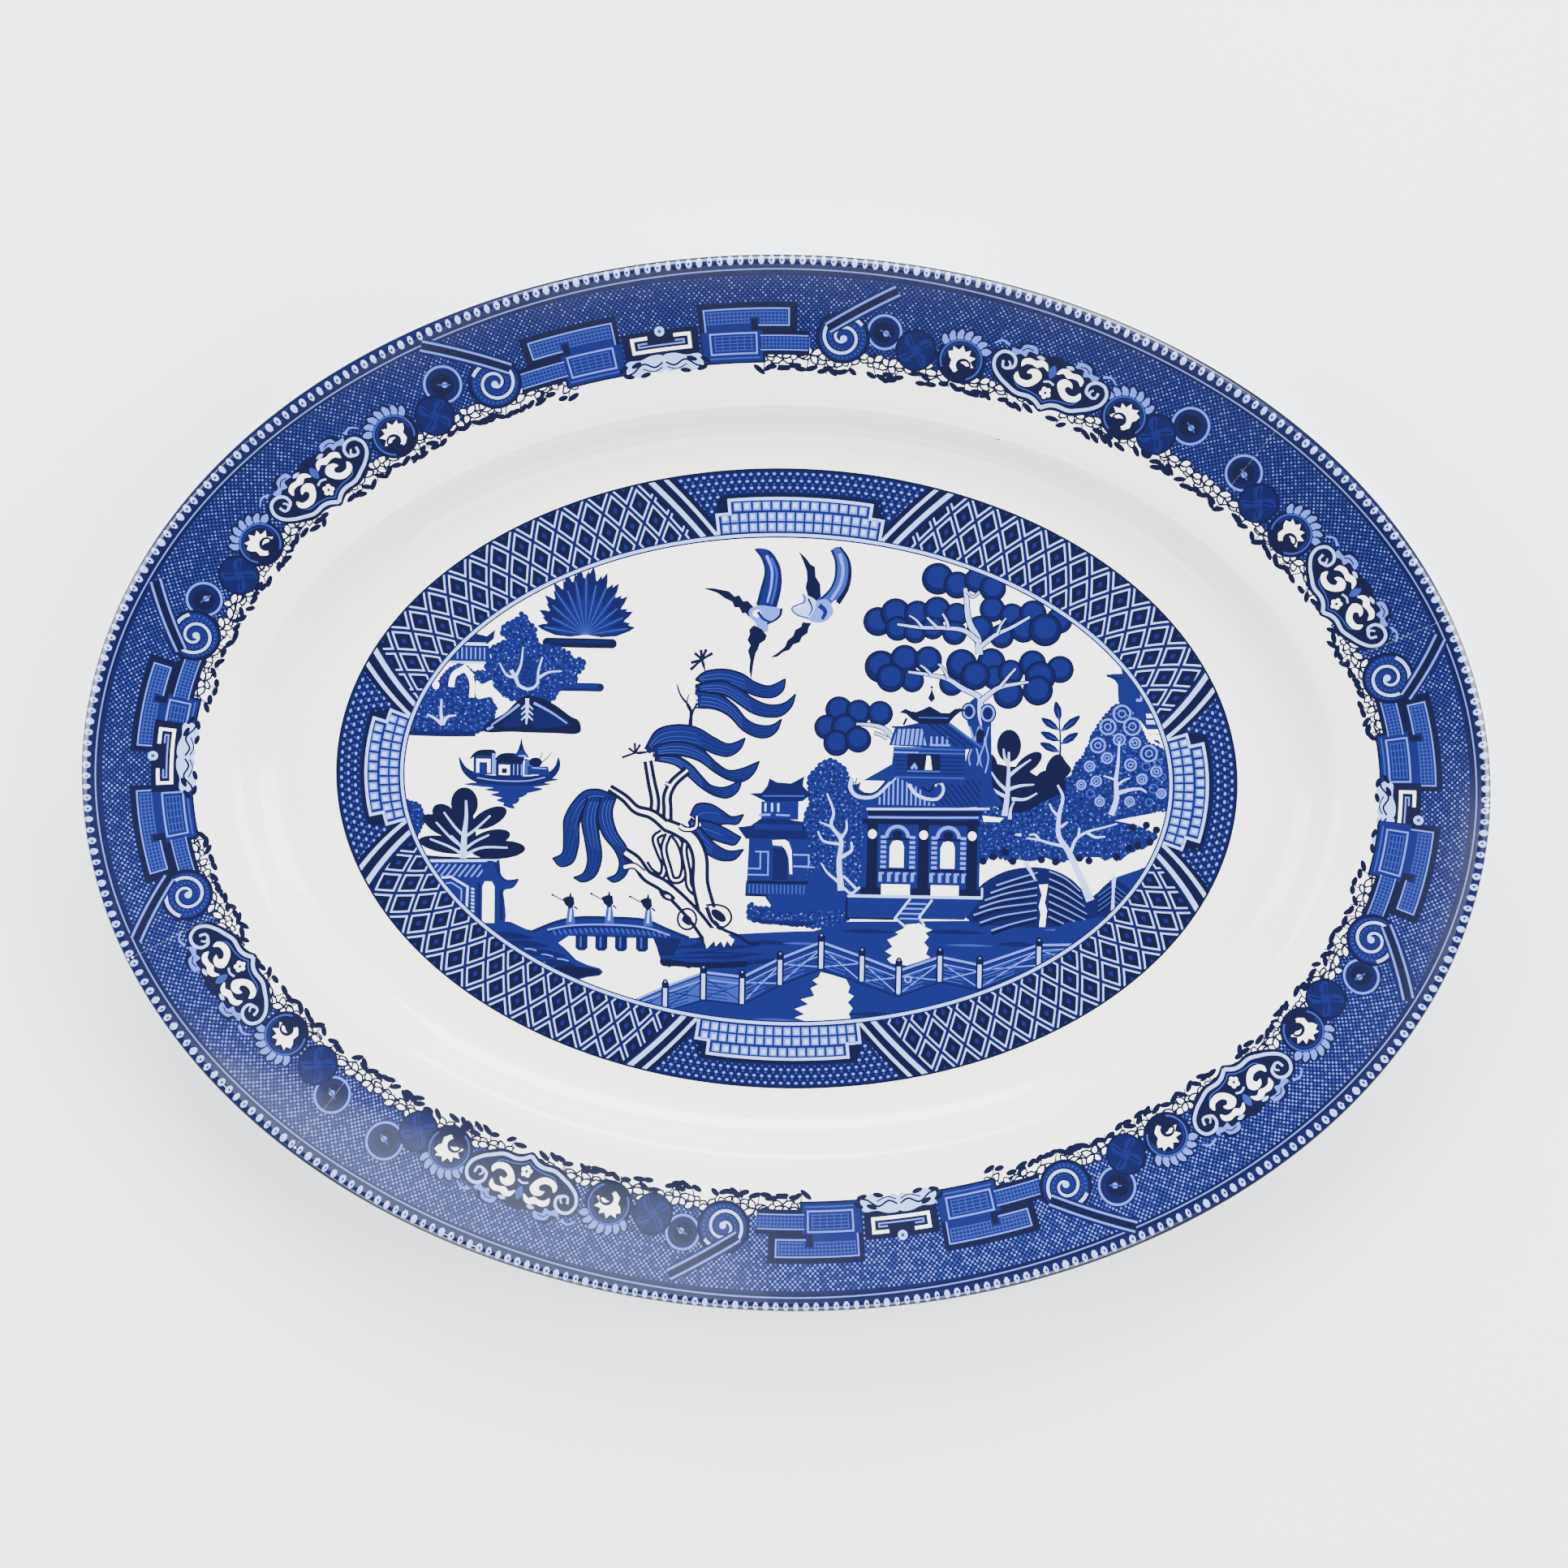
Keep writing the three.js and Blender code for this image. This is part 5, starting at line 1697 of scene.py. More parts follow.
@dataclass
class WellBand:
    """The oval band round the scene: a lattice, broken on each side by a dotted field with a panel."""

    track: OvalTrack
    depth: float = 17.3
    cell: float = 6.29
    row: float = 4.9
    pitch: float = 1.9
    fields: tuple[tuple[float, float, float, float], ...] = (
        (138.4, 39.0, 26.5, 18.5),
        (422.8, 39.0, 26.5, 18.5),
        (280.9, 29.5, 21.0, 12.8),
        (564.0, 29.5, 21.0, 12.8),
    )

    def __post_init__(self) -> None:
        """Takes up a pen for the band and one for the lines on its edges."""
        self.sheet = Sheet(self.track)
        self.lines = Sheet(self.track)
        self.pen = Pen(self.sheet)

    def inner_edge(self) -> np.ndarray:
        """Returns the oval inside the band."""
        reach = np.arange(0, self.track.around, 1.5)
        return self.track(np.column_stack([reach, np.full(len(reach), self.depth)]))

    def draw(self) -> list[Sheet]:
        """Draws the band and returns its sheets, the one with the edge lines last."""
        around = self.track.around
        for start in (0, around / 2):
            end = start + around / 2
            self.pen.cut(DEEP, ((start, -1), (start, self.depth), (end, self.depth), (end, -1)))
        self.draw_lattice()
        for middle, outer, inner, panel in self.fields:
            self.draw_field(middle, outer, inner, panel)
        for start in (0, around / 2):
            path = ((start, 0.0), (start + around / 2, 0.0))
            pen = Pen(self.lines)
            pen.line(NAVY, path, 1.1)
            for tone, inset, wide in (
                (DEEP, self.depth - 0.9, 0.45), (PALE, self.depth - 0.35, 0.85),
                (DEEP, self.depth + 0.2, 0.4),
            ):
                pen.line(tone, ((start, inset), (start + around / 2, inset)), wide)
        return [self.sheet, self.lines]

    def draw_lattice(self) -> None:
        """Draws the lattice of diamonds, each with a dark heart."""
        across = round(self.track.around / self.cell)
        cell = self.track.around / across
        for level in range(4):
            for i in range(across):
                place = Pen(self.sheet, (i + 0.5 * (level % 2)) * cell, 0.4 + level * self.row)
                for tone, size in ((PALE, 0.85), (NAVY, 0.69), (MID, 0.2)):
                    half, tall = cell / 2 * size, self.row * size
                    place.cut(tone, ((-half, 0), (0, tall), (half, 0), (0, -tall)))

    def draw_field(self, middle: float, outer: float, inner: float, panel: float) -> None:
        """Draws one dotted field with the stepped panel on its inner side.

        Args:
            middle: where along the band it is centred.
            outer: half its length at the band's outer edge.
            inner: half its length at the inner edge.
            panel: half the length of its panel's upper step.
        """
        pen = Pen(self.sheet, middle, 0)
        depth = self.depth
        field_edge = ((-outer, -1), (outer, -1), (inner, depth), (-inner, depth))
        pen.cut(DEEP, field_edge)
        keep = ((-panel - 1.8, 6.4), (panel + 1.8, 6.4), (panel + 5.4, depth), (-panel - 5.4, depth))
        pen.cut(NAVY, keep)
        outline, panel_outline = points_of(field_edge), points_of(keep)
        rows = int(depth / self.pitch) + 1
        for level in range(rows):
            offsets = np.arange(-outer, outer, self.pitch) + self.pitch * 0.5 * (level % 2)
            places = np.column_stack([offsets, np.full(len(offsets), 1.4 + level * self.pitch * 0.92)])
            places = places[inside(places, outline) & ~inside(places, panel_outline)]
            for x, y in places:
                if abs(x) < outer - 5.2 - y * (outer - inner) / depth:
                    pen.cut(LIGHT, regular(5, 0.5, 0.4) + (x, y))
                    pen.cut(SOFT, regular(4, 0.3) + (x + self.pitch / 2, y + self.pitch * 0.46))
        for side in (-1, 1):
            slope = (outer - inner) / (depth + 1)
            for tone, inset, wide in (
                (NAVY, 3.2, 6.6), (PALE, 5.0, 1.0), (NAVY, 3.3, 2.0), (PALE, 1.5, 1.25), (DEEP, 0.4, 0.5),
            ):
                top = (side * (outer - inset), -1)
                pen.line(tone, (top, (side * (outer - inset - slope * (depth + 1)), depth)), wide)
        self.draw_panel(pen, panel)

    def draw_panel(self, pen: Pen, half: float) -> None:
        """Draws one stepped panel of small squares.

        Args:
            pen: a pen at its middle.
            half: half the length of its upper step.
        """
        wider = half + 3.4
        step = ((-half, 7.3), (half, 7.3), (half, 10.8), (wider, 10.8))
        step += ((wider, 17), (-wider, 17), (-wider, 10.8), (-half, 10.8))
        pen.cut(PALE, step)
        inner = ((-half + 0.75, 8.05), (half - 0.75, 8.05), (half - 0.75, 11.5), (wider - 0.75, 11.5))
        inner += ((wider - 0.75, 17), (-wider + 0.75, 17), (-wider + 0.75, 11.5), (-half + 0.75, 11.5))
        pen.cut(MID, inner)
        for level, (middle, reach) in enumerate((
            (9.5, half - 1.2), (12.3, wider - 1.2), (14.9, wider - 1.2),
        )):
            count = round(2 * reach / 2.5)
            pitch = 2 * reach / count
            for i in range(count):
                x = -reach + (i + 0.5) * pitch
                pen.cut(LIGHT, regular(4, 1.36, 1.5) + (x, middle))
                pen.cut(PALE, regular(4, 0.8, 0.9) + (x + 0.1, middle - 0.1))


# ---------------------------------------------------------------- the printed border on the rim


@dataclass
class RimBorder:
    """The printed border on the rim. Half of it is drawn twice, the second time half a turn further on."""

    track: OvalTrack
    ground_end: float = 26.4
    dot_pitch: float = 1.25
    dot_row: float = 0.66
    bead_pitch: float = 2.45

    def __post_init__(self) -> None:
        """Takes up two sheets, one for the dotted ground and one for what lies on it."""
        self.ground = Sheet(self.track)
        self.motifs = Sheet(self.track)
        self.half = self.track.around / 2

    def draw(self) -> list[Sheet]:
        """Draws the border and returns its sheets, ground first."""
        for start in (0.0, self.half):
            self.draw_half(start)
        self.draw_ground()
        return [self.ground, self.motifs]

    def drift(self, along: float) -> float:
        """Returns how far the beaded edge strays inwards there, as a hand-laid print does."""
        return 0.45 * math.sin(2 * math.pi * (along - 55) / (self.half / 2))

    def draw_ground(self) -> None:
        """Draws the dark ground with its rows of dots and the beaded edge. Towards the bottom of the platter
        the dots are drawn paler and larger, a painted sheen.
        """
        pen = Pen(self.ground)
        for start in (0.0, self.half):
            inner = []
            for u in np.arange(0, self.half + 0.1, self.half / 150):
                depth = self.ground_end + 0.5 * math.sin(u * 1.3) + 0.3 * math.sin(u * 0.57)
                inner.append((start + u, depth))
            pen.cut(DEEP, [(start, -0.5)] + inner + [(start + self.half, -0.5)])
        rows = np.arange(6.0, self.ground_end - 0.6, self.dot_row)
        count = round(2 * self.half / self.dot_pitch)
        pitch = 2 * self.half / count
        lengths = (np.arange(count)[:, None] + 0.5 * (np.arange(len(rows)) % 2)) * pitch
        depths = np.broadcast_to(rows, lengths.shape)
        places = np.stack([lengths.ravel(), depths.ravel()], axis=1)
        draw = np.random.default_rng(7)
        for x, y in self.motifs.uncovered(places):
            # Painted sheen: the dots turn paler and larger towards the bottom of the platter, a reflection
            # of light on that side of the rim set into the print's tone.
            painted_sheen = 0.5 - 0.5 * math.sin(math.pi * x / self.half)
            tone = SOFT if draw.random() > 0.3 + 0.3 * painted_sheen else LIGHT
            size = 0.25 + 0.1 * painted_sheen + draw.uniform(-0.03, 0.04)
            pen.cut(tone, regular(4, size) + (x, y))
        beads = round(2 * self.half / self.bead_pitch)
        for i in range(beads):
            x = (i + 0.5) * 2 * self.half / beads
            y = 2.25 + self.drift(x)
            wide = 0.7 + 0.1 * math.sin(i * 1.7)
            pen.cut(PALE, regular(8, wide, 1.18) + (x, y))
            if i % 3 != 1:
                pen.cut(MID, regular(5, 0.3, 0.42) + (x + 0.1, y + 0.1))
        for start in (0.0, self.half):
            reach = np.arange(0, self.half + 0.1, self.half / 90)
            for tone, inset, wide in (
                (NAVY, 3.9, 0.5), (LIGHT, 4.55, 0.35), (NAVY, 5.1, 0.5), (NAVY, 0.55, 0.35),
            ):
                path = [(start + u, inset + self.drift(start + u)) for u in reach]
                pen.line(tone, path, wide, curved=False)

    def draw_half(self, start: float) -> None:
        """Draws one half of the motifs, from the middle of the right end round to the left end.

        Args:
            start: how far along the track it begins.
        """
        for first, last in ((18, 53), (61, 152), (160, 232), (283, 352), (359, 428)):
            self.draw_garland(start, first, last)
        for u, v, radius in (
            (101, 18.2, 4.5), (119, 16, 4.6), (200.5, 18.2, 4.2), (315, 16, 4.6), (400, 18.6, 4.3),
        ):
            self.draw_coin(Pen(self.motifs, start + u, v), radius)
        for u, v in ((93, 21.8), (125.5, 22.2), (192, 21.6), (320.5, 22.3), (389.5, 22.6)):
            self.draw_roundel(Pen(self.motifs, start + u, v))
        for u, flip in ((81, True), (135, False), (180, True), (332.5, False), (379, True)):
            self.draw_flower_scroll(Pen(self.motifs, start + u, 21.8, flip=flip))
        for u, flip in ((4.0, False), (246.5, True), (269.5, False), (442.0, True)):
            self.draw_fret(Pen(self.motifs, start + u, 0, flip=flip))
        for u, flip in ((34, False), (211, True), (302.5, False), (410, True)):
            self.draw_scroll(Pen(self.motifs, start + u, 20.6, flip=flip))
        for u, v, end_u, end_v in (
            (39.5, 5, 28, 18), (198.5, 7.5, 215, 18.5), (315.5, 5, 297.5, 18.5), (401.5, 6, 415, 19),
        ):
            self.draw_bars(start, (u, v), (end_u, end_v))
        for u in (58.5, 156.5, 355.5):
            self.draw_cartouche(start + u)
        for u in (-5.0, 258.0):
            self.draw_panel(Pen(self.motifs, start + u, 0))

    def draw_garland(self, start: float, first: float, last: float) -> None:
        """Draws the leafy edge along the border's inner side.

        Args:
            start: where this half begins.
            first: where the garland begins.
            last: where it ends.
        """
        draw = np.random.default_rng(int(first * 10))
        pen = Pen(self.motifs, start)
        for u in np.arange(first + 1, last - 0.5, 4.1):
            x, y = u + draw.uniform(-0.6, 0.6), 25.6 + draw.uniform(-0.6, 0.9)
            end = (x + draw.uniform(-1, 3), y + draw.uniform(2.9, 4.3))
            pen.line(NAVY, ((x, y - 2), (x + 0.6, y), end), 0.5, 0.3)
            for turn in (
                draw.uniform(5, 60), draw.uniform(110, 170), draw.uniform(-60, 0), draw.uniform(190, 240),
            ):
                away = math.radians(turn)
                reach = draw.uniform(2.2, 3.3)
                tip = (reach * math.cos(away), reach * math.sin(away) * 0.8)
                pen.leaf(NAVY, (x - 0.35 * tip[0], y - 0.35 * tip[1]), (x + 1.25 * tip[0],
                    y + 1.25 * tip[1]), 2.3)
                pen.leaf(CLEAR, (x, y), (x + tip[0], y + tip[1]), 1.35)
            for side in (-1, 1):
                u = start + end[0] + side * draw.uniform(1.0, 1.7)
                leaf = Pen(self.motifs, u, end[1] - draw.uniform(0, 0.9), draw.uniform(-40, 40))
                leaf.disc(NAVY, 0, 0, draw.uniform(1.4, 2.0), 0.72)

    def draw_coin(self, pen: Pen, radius: float) -> None:
        """Draws one ringed coin of the given radius.

        Args:
            pen: a pen at its middle.
            radius: radius of its ring.
        """
        pen.disc(DEEP, 0, 0, radius + 0.5, covers=True)
        pen.ring(LIGHT, 0, 0, radius, 0.6)
        pen.disc(NAVY, 0.2, 0, radius * 0.62)
        pen.disc(LIGHT, -0.4, 0.3, 0.75)
        pen.line(SOFT, ((-1.7, 0.9), (-0.4, 0.2), (1.2, -0.4)), 0.4)

    def draw_roundel(self, pen: Pen) -> None:
        """Draws one dark ball with a faint quartered flower.

        Args:
            pen: a pen at its middle.
        """
        pen.disc(NAVY, 0, 0, 5.3, covers=True)
        pen.disc(DEEP, 0, 0, 4.8)
        for turn in range(0, 360, 90):
            petal = Pen(self.motifs, pen.x, pen.y, turn)
            petal.fill(MID, "0.4,0.5 2.2,1 4.1,2.2 2.6,3.2 1,2.6")
            petal.line(NAVY, "0.4,0.5 2,1.6 3.2,2.3", 0.35)
        pen.cut(MID, "-1.6,0 0,1.6 1.6,0 0,-1.6")

    def draw_flower_scroll(self, pen: Pen) -> None:
        """Draws one dark scroll with a toothed crest and a light flower inside it.

        Args:
            pen: a pen at its middle.
        """
        pen.disc(NAVY, 0, 0, 6.4, 6.0, covers=True)
        for turn in np.linspace(218, 322, 7):
            away = math.radians(turn)
            root = (5.2 * math.cos(away), 4.6 * math.sin(away))
            tip = (8.2 * math.cos(away + 0.16), 7.8 * math.sin(away + 0.16))
            pen.leaf(NAVY, root, (tip[0] * 1.06, tip[1] * 1.06), 3.0)
            pen.leaf(LIGHT, root, tip, 1.9)
        pen.disc(NAVY, 0, 0.2, 5.9, 5.5)
        arc = [(5.3 * math.cos(t), 5.0 * math.sin(t)) for t in np.linspace(2.6, 7.4, 22)]
        pen.line(SOFT, arc, 0.5)
        arc = [(4.5 * math.cos(t), 4.2 * math.sin(t)) for t in np.linspace(3.1, 6.6, 18)]
        pen.line(MID, arc, 0.5)
        pen.cut(CLEAR, "-3.6,-1.6 -2.4,-2 -2.6,-3 -1,-2.4 -0.2,-3.6 0.6,-2.2 2,-2.8 1.8,-1.4 3.6,-1.2 2.4,0 "
            "3.6,1.2 2.2,1.6 1.8,3 0.4,3.4 -1.4,3.2 -2.6,2 -2.4,0.4 -3.2,-0.4")
        pen.disc(NAVY, 0.9, 1.2, 2.0, 1.8)
        pen.fill(CLEAR, "0,0.6 1.4,0.1 2.4,1 1.6,1.2 0.9,0.8")
        pen.fill(NAVY, "-0.8,3 1.4,2.4 2.8,2.2 2,3.6 0,4.2")

    def draw_fret(self, pen: Pen) -> None:
        """Draws one angular fret, from its plain end to the band that runs into the scroll.

        Args:
            pen: a pen on the border's outer edge.
        """
        pen.cut(NAVY, "-1.2,12.4 23.6,12.4 23.6,19.4 27,19.4 27,25.6 15.4,25.6 15.4,27.6 -1.2,27.6",
            covers=True)
        pen.cut(MID, "0,13.8 21.8,13.8 21.8,18.2 13.6,18.2 13.6,16.4 12,16.4 12,19.6 0,19.6")
        pen.cut(MID, "-1,19.4 14.8,19.4 14.8,27.1 -1,27.1")
        pen.cut(MID, "14,20.6 27,20.6 27,24.4 14,24.4")
        for y in np.arange(14.7, 18, 0.9):
            end = 21 if y < 16 or y > 18 else 11.6
            pen.line(SOFT, ((0.8, y), (end, y)), 0.28)
            if y > 16:
                pen.line(SOFT, ((14.2, y), (21, y)), 0.28)
        for x in np.arange(1, 21, 0.95):
            low = 17.6 if not 11.6 < x < 14 else 16
            pen.line(SOFT, ((x, 14.4), (x, low)), 0.24)
        for x in np.arange(14.6, 27, 0.95):
            pen.line(SOFT, ((x, 21), (x, 24)), 0.24)
        for y in (21.5, 22.4, 23.3):
            pen.line(SOFT, ((14.6, y), (27, y)), 0.24)
        for y in np.arange(20.8, 24.6, 0.85):
            pen.line(SOFT, ((2.2, y), (12.4, y)), 0.24)
        for x in np.arange(2.4, 12.4, 1.9):
            pen.line(SOFT, ((x, 20.6), (x, 24.4)), 0.22)
        pen.line(LIGHT, "0.2,19.4 0.2,13.9 21.6,13.9 21.6,18.1 13.8,18.1", 0.38, curved=False)
        pen.line(LIGHT, "1.2,20 13.2,20 13.2,25.1 1.2,25.1 1.2,19.8", 0.45, curved=False)
        pen.line(SOFT, "0.2,26.2 14,26.2", 0.4)
        pen.line(LIGHT, "14.2,20.7 26.6,20.7", 0.3)
        pen.line(LIGHT, "14.2,24.3 26.6,24.3", 0.3)

    def draw_scroll(self, pen: Pen) -> None:
        """Draws one rolled scroll, hatched inside.

        Args:
            pen: a pen at its middle.
        """
        pen.disc(NAVY, 0, 0, 7.0, 6.6, covers=True)
        pen.disc(MID, 0, 0, 6.1, 5.8)
        for radius in (5.0, 3.9, 3.0):
            for turn in np.linspace(0, 2 * math.pi, int(radius * 6)):
                x, y = radius * math.cos(turn), radius * 0.95 * math.sin(turn)
                pen.line(SOFT, ((x, y), (x * 1.13, y * 1.13)), 0.28)
        turns = np.linspace(0, 2 * math.pi * 1.75, 46)
        radius = 0.7 + 5.2 * (turns / turns[-1]) ** 0.9
        path = np.column_stack([radius * np.cos(turns + 0.9), 0.95 * radius * np.sin(turns + 0.9)])
        pen.line(NAVY, path, 1.3, 1.6, curved=False)
        pen.line(PALE, path, 0.6, 0.85, curved=False)
        pen.disc(PALE, 0.2, 0.3, 0.9)

    def draw_bars(self, start: float, top: tuple[float, float], foot: tuple[float, float]) -> None:
        """Draws the slanting pair of light bars beside a scroll, from one point to another.

        Args:
            start: where this half begins.
            top: along and inset of the upper end.
            foot: along and inset of the lower end.
        """
        pen = Pen(self.motifs, start)
        a, b = np.array(top), np.array(foot)
        side = np.array([-(b - a)[1], (b - a)[0]]) / np.linalg.norm(b - a)
        pen.line(DEEP, (a, b), 4.0)
        cover = np.array([a + side * 2, b + side * 2, b - side * 2, a - side * 2])
        self.motifs.covers.append(pen.put(cover))
        pen.line(NAVY, (a, b), 1.7)
        for offset in (-1.15, 1.15):
            pen.line(LIGHT, (a + side * offset, b + side * offset), 0.55)

    def draw_cartouche(self, middle: float) -> None:
        """Draws one scrolled cartouche centred there.

        Args:
            middle: how far along the track its middle is.
        """
        pen = Pen(self.motifs, middle)
        outline = (
            "-16,20 -15.6,17.4 -13.4,16 -10.8,15.6 -9.6,13.6 -6.6,13.2 -4.8,14.8 0,14.4 4.8,14.8 6.6,13.2 "
            "9.6,13.6 10.8,15.6 13.4,16 15.6,17.4 16,20 14.6,23.4 11.4,25.8 8,27.4 4,27.4 2,28 0,29 -2,28 "
            "-4,27.4 -8,27.4 -11.4,25.8 -14.6,23.4"
        )
        pen.fill(NAVY, outline, covers=True)
        for flip in (False, True):
            half = Pen(self.motifs, middle, flip=flip)
            half.fill(LIGHT, "5,15.4 5.6,13.8 7.4,13.6 9,14.2 9.4,15.4 11.6,15.6 10.6,17.2 9.2,16.4 "
                "7.6,16.8 7.4,15.4 6.4,15.2")
            half.line(NAVY, "6.2,14.8 7.8,14.6 9,15.6", 0.3)
            half.line(LIGHT, "12.4,15 14.4,14.4 16.2,15.6", 0.7, 0.3)
            half.line(PALE, "11.6,20.9 9.9,20.1 9.9,18.2 11.6,16.9 13.8,17.2 15.1,19.2 14.6,21.6 12.4,23.7 "
                "10.2,24.9 7.4,26.1 3.8,26.1 2,26.6 0,27.9", 0.7, 1.0)
            half.line(PALE, "12.9,19.2 12.6,20.7 11.3,20.9 10.8,19.8 11.5,19", 0.65, 0.4)
            half.line(SOFT, "9,22.6 7.6,24.4 4,24.8 1.6,25.4 0,26.4", 0.3)
            half.fill(CLEAR, "2.2,20.4 3.6,19 5.6,19.4 6.2,20.6 5,20.4 4.4,21.4 5.6,22.4 7.6,22.2 8.6,20.9 "
                "9.2,22.2 8,23.6 5.4,24 3.4,22.8")
            half.fill(CLEAR, "1.2,18.6 1.8,17 3.4,16.4 4.8,17 6.6,16.8 8.2,17.8 8,19.4 7,18.4 5.4,18.2 "
                "4,18.6 2.8,17.8")
            half.fill(PALE, "2.8,15.9 4.2,15.4 5,16 3.8,16.4")
        for turn in range(90, 450, 72):
            away = math.radians(turn)
            pen.disc(CLEAR, 0.95 * math.cos(away), 23.9 + 0.95 * math.sin(away), 0.62)
        pen.disc(MID, 0, 23.9, 0.4)
        pen.fill(SOFT, "0,16.6 1,18.4 0,20.2 -1,18.4")
        pen.line(PALE, "-1.4,21.4 0,20.9 1.4,21.4", 0.5)

    def draw_panel(self, pen: Pen) -> None:
        """Draws the small framed panel that stands between two frets.

        Args:
            pen: a pen on the border's outer edge.
        """
        pen.cut(NAVY, "-9.8,17.4 9.8,17.4 9.8,25.4 -9.8,25.4", covers=True)
        pen.line(CLEAR, "-3.4,19.1 -7.4,19.1 -7.4,22.4 7.4,22.4 7.4,19.1 3.4,19.1", 0.85, curved=False)
        pen.line(LIGHT, "-3.6,20.4 -5.9,20.4 -5.9,21.2 5.9,21.2 5.9,20.4 3.6,20.4", 0.4, curved=False)
        pen.cut(NAVY, "-3.2,18.4 3.2,18.4 3.2,20.4 -3.2,20.4")
        pen.disc(PALE, 0, 17.8, 1.25)
        pen.disc(SOFT, 0, 17.8, 0.5)
        for flip in (False, True):
            half = Pen(self.motifs, pen.x, flip=flip)
            half.fill(PALE, "0,24 3,23.6 6,24.4 9.6,24.4 10.4,26 8.8,28 6.4,28.6 3.4,27.6 1.4,28.2 0,27.4",
                covers=True)
            half.line(NAVY, "0.4,25.6 2.6,26.6 5.6,25.4 8.6,27.2 10.6,27.6", 0.5)
            half.line(DEEP, "0.6,26.8 3,27.6 6,26.6", 0.35)
            for x, y, turn in ((5.4, 28.2, 12), (9.9, 28, -12), (7.4, 25.4, 20), (11, 26, 30)):
                leaf = Pen(self.motifs, pen.x + (-x if flip else x), y, -turn if flip else turn)
                leaf.disc(NAVY, 0, 0, 1.5, 0.62)


@dataclass
class BaseWreath:
    """The small mark under the base, a plain wreath of leaves with no lettering."""

    half_length: float
    half_width: float
    leaves: int = 26

    def draw(self) -> Sheet:
        """Draws the wreath and returns its sheet."""
        sheet = Sheet()
        pen = Pen(sheet)
        wide, tall = self.half_length - 4.2, self.half_width - 3.8
        ring = [(wide * math.cos(t), tall * math.sin(t)) for t in np.linspace(0, 2 * math.pi, 73)]
        pen.line(MID, ring, 0.45, curved=False)
        for i in range(self.leaves):
            turn = 2 * math.pi * i / self.leaves
            x, y = wide * math.cos(turn), tall * math.sin(turn)
            along = turn + math.pi / 2 + (0.7 if i % 2 else -0.7)
            pen.leaf(MID, (x, y), (x + 3.1 * math.cos(along), y + 3.1 * math.sin(along)), 1.3)
        for i in range(5):
            turn = math.radians(90 + 72 * i)
            pen.disc(MID, 1.9 * math.cos(turn), 1.9 * math.sin(turn), 1.25)
        pen.disc(CLEAR, 0, 0, 1.0)
        pen.ring(SOFT, 0, 0, 4.6, 0.35)
        return sheet


# ---------------------------------------------------------------- the studio


@dataclass(frozen=True)
class Lamp:
    """One soft light. Lengths are in metres."""

    name: str
    place: tuple[float, float, float]
    aim: tuple[float, float, float]
    size: tuple[float, float]
    watts: float
    tint: tuple[float, float, float] = (1.0, 1.0, 1.0)

    def hang(self) -> None:
        """Adds the light to the scene."""
        light = bpy.data.lights.new(self.name, "AREA")
        light.shape = "RECTANGLE"
        light.size, light.size_y = self.size
        light.energy = self.watts
        light.color = self.tint
        lamp = bpy.data.objects.new(self.name, light)
        lamp.location = self.place
        lamp.rotation_euler = looking(self.place, self.aim, 0.0)
        bpy.context.scene.collection.objects.link(lamp)


def looking(place: tuple[float, float, float], aim: tuple[float, float, float], roll: float) -> Euler:
    """Works out how an object is turned to look at a point.

    Args:
        place: where it is.
        aim: the point.
        roll: how far it is rolled about its line of sight, in degrees.

    Returns:
        The turn, with the object's +Y as near to the scene's +Y as it goes.
    """
    back = (Vector(place) - Vector(aim)).normalized()
    right = Vector((0, 1, 0)).cross(back).normalized()
    turned = Matrix((right, back.cross(right), back)).transposed()
    return (turned @ Matrix.Rotation(math.radians(roll), 3, "Z")).to_euler()


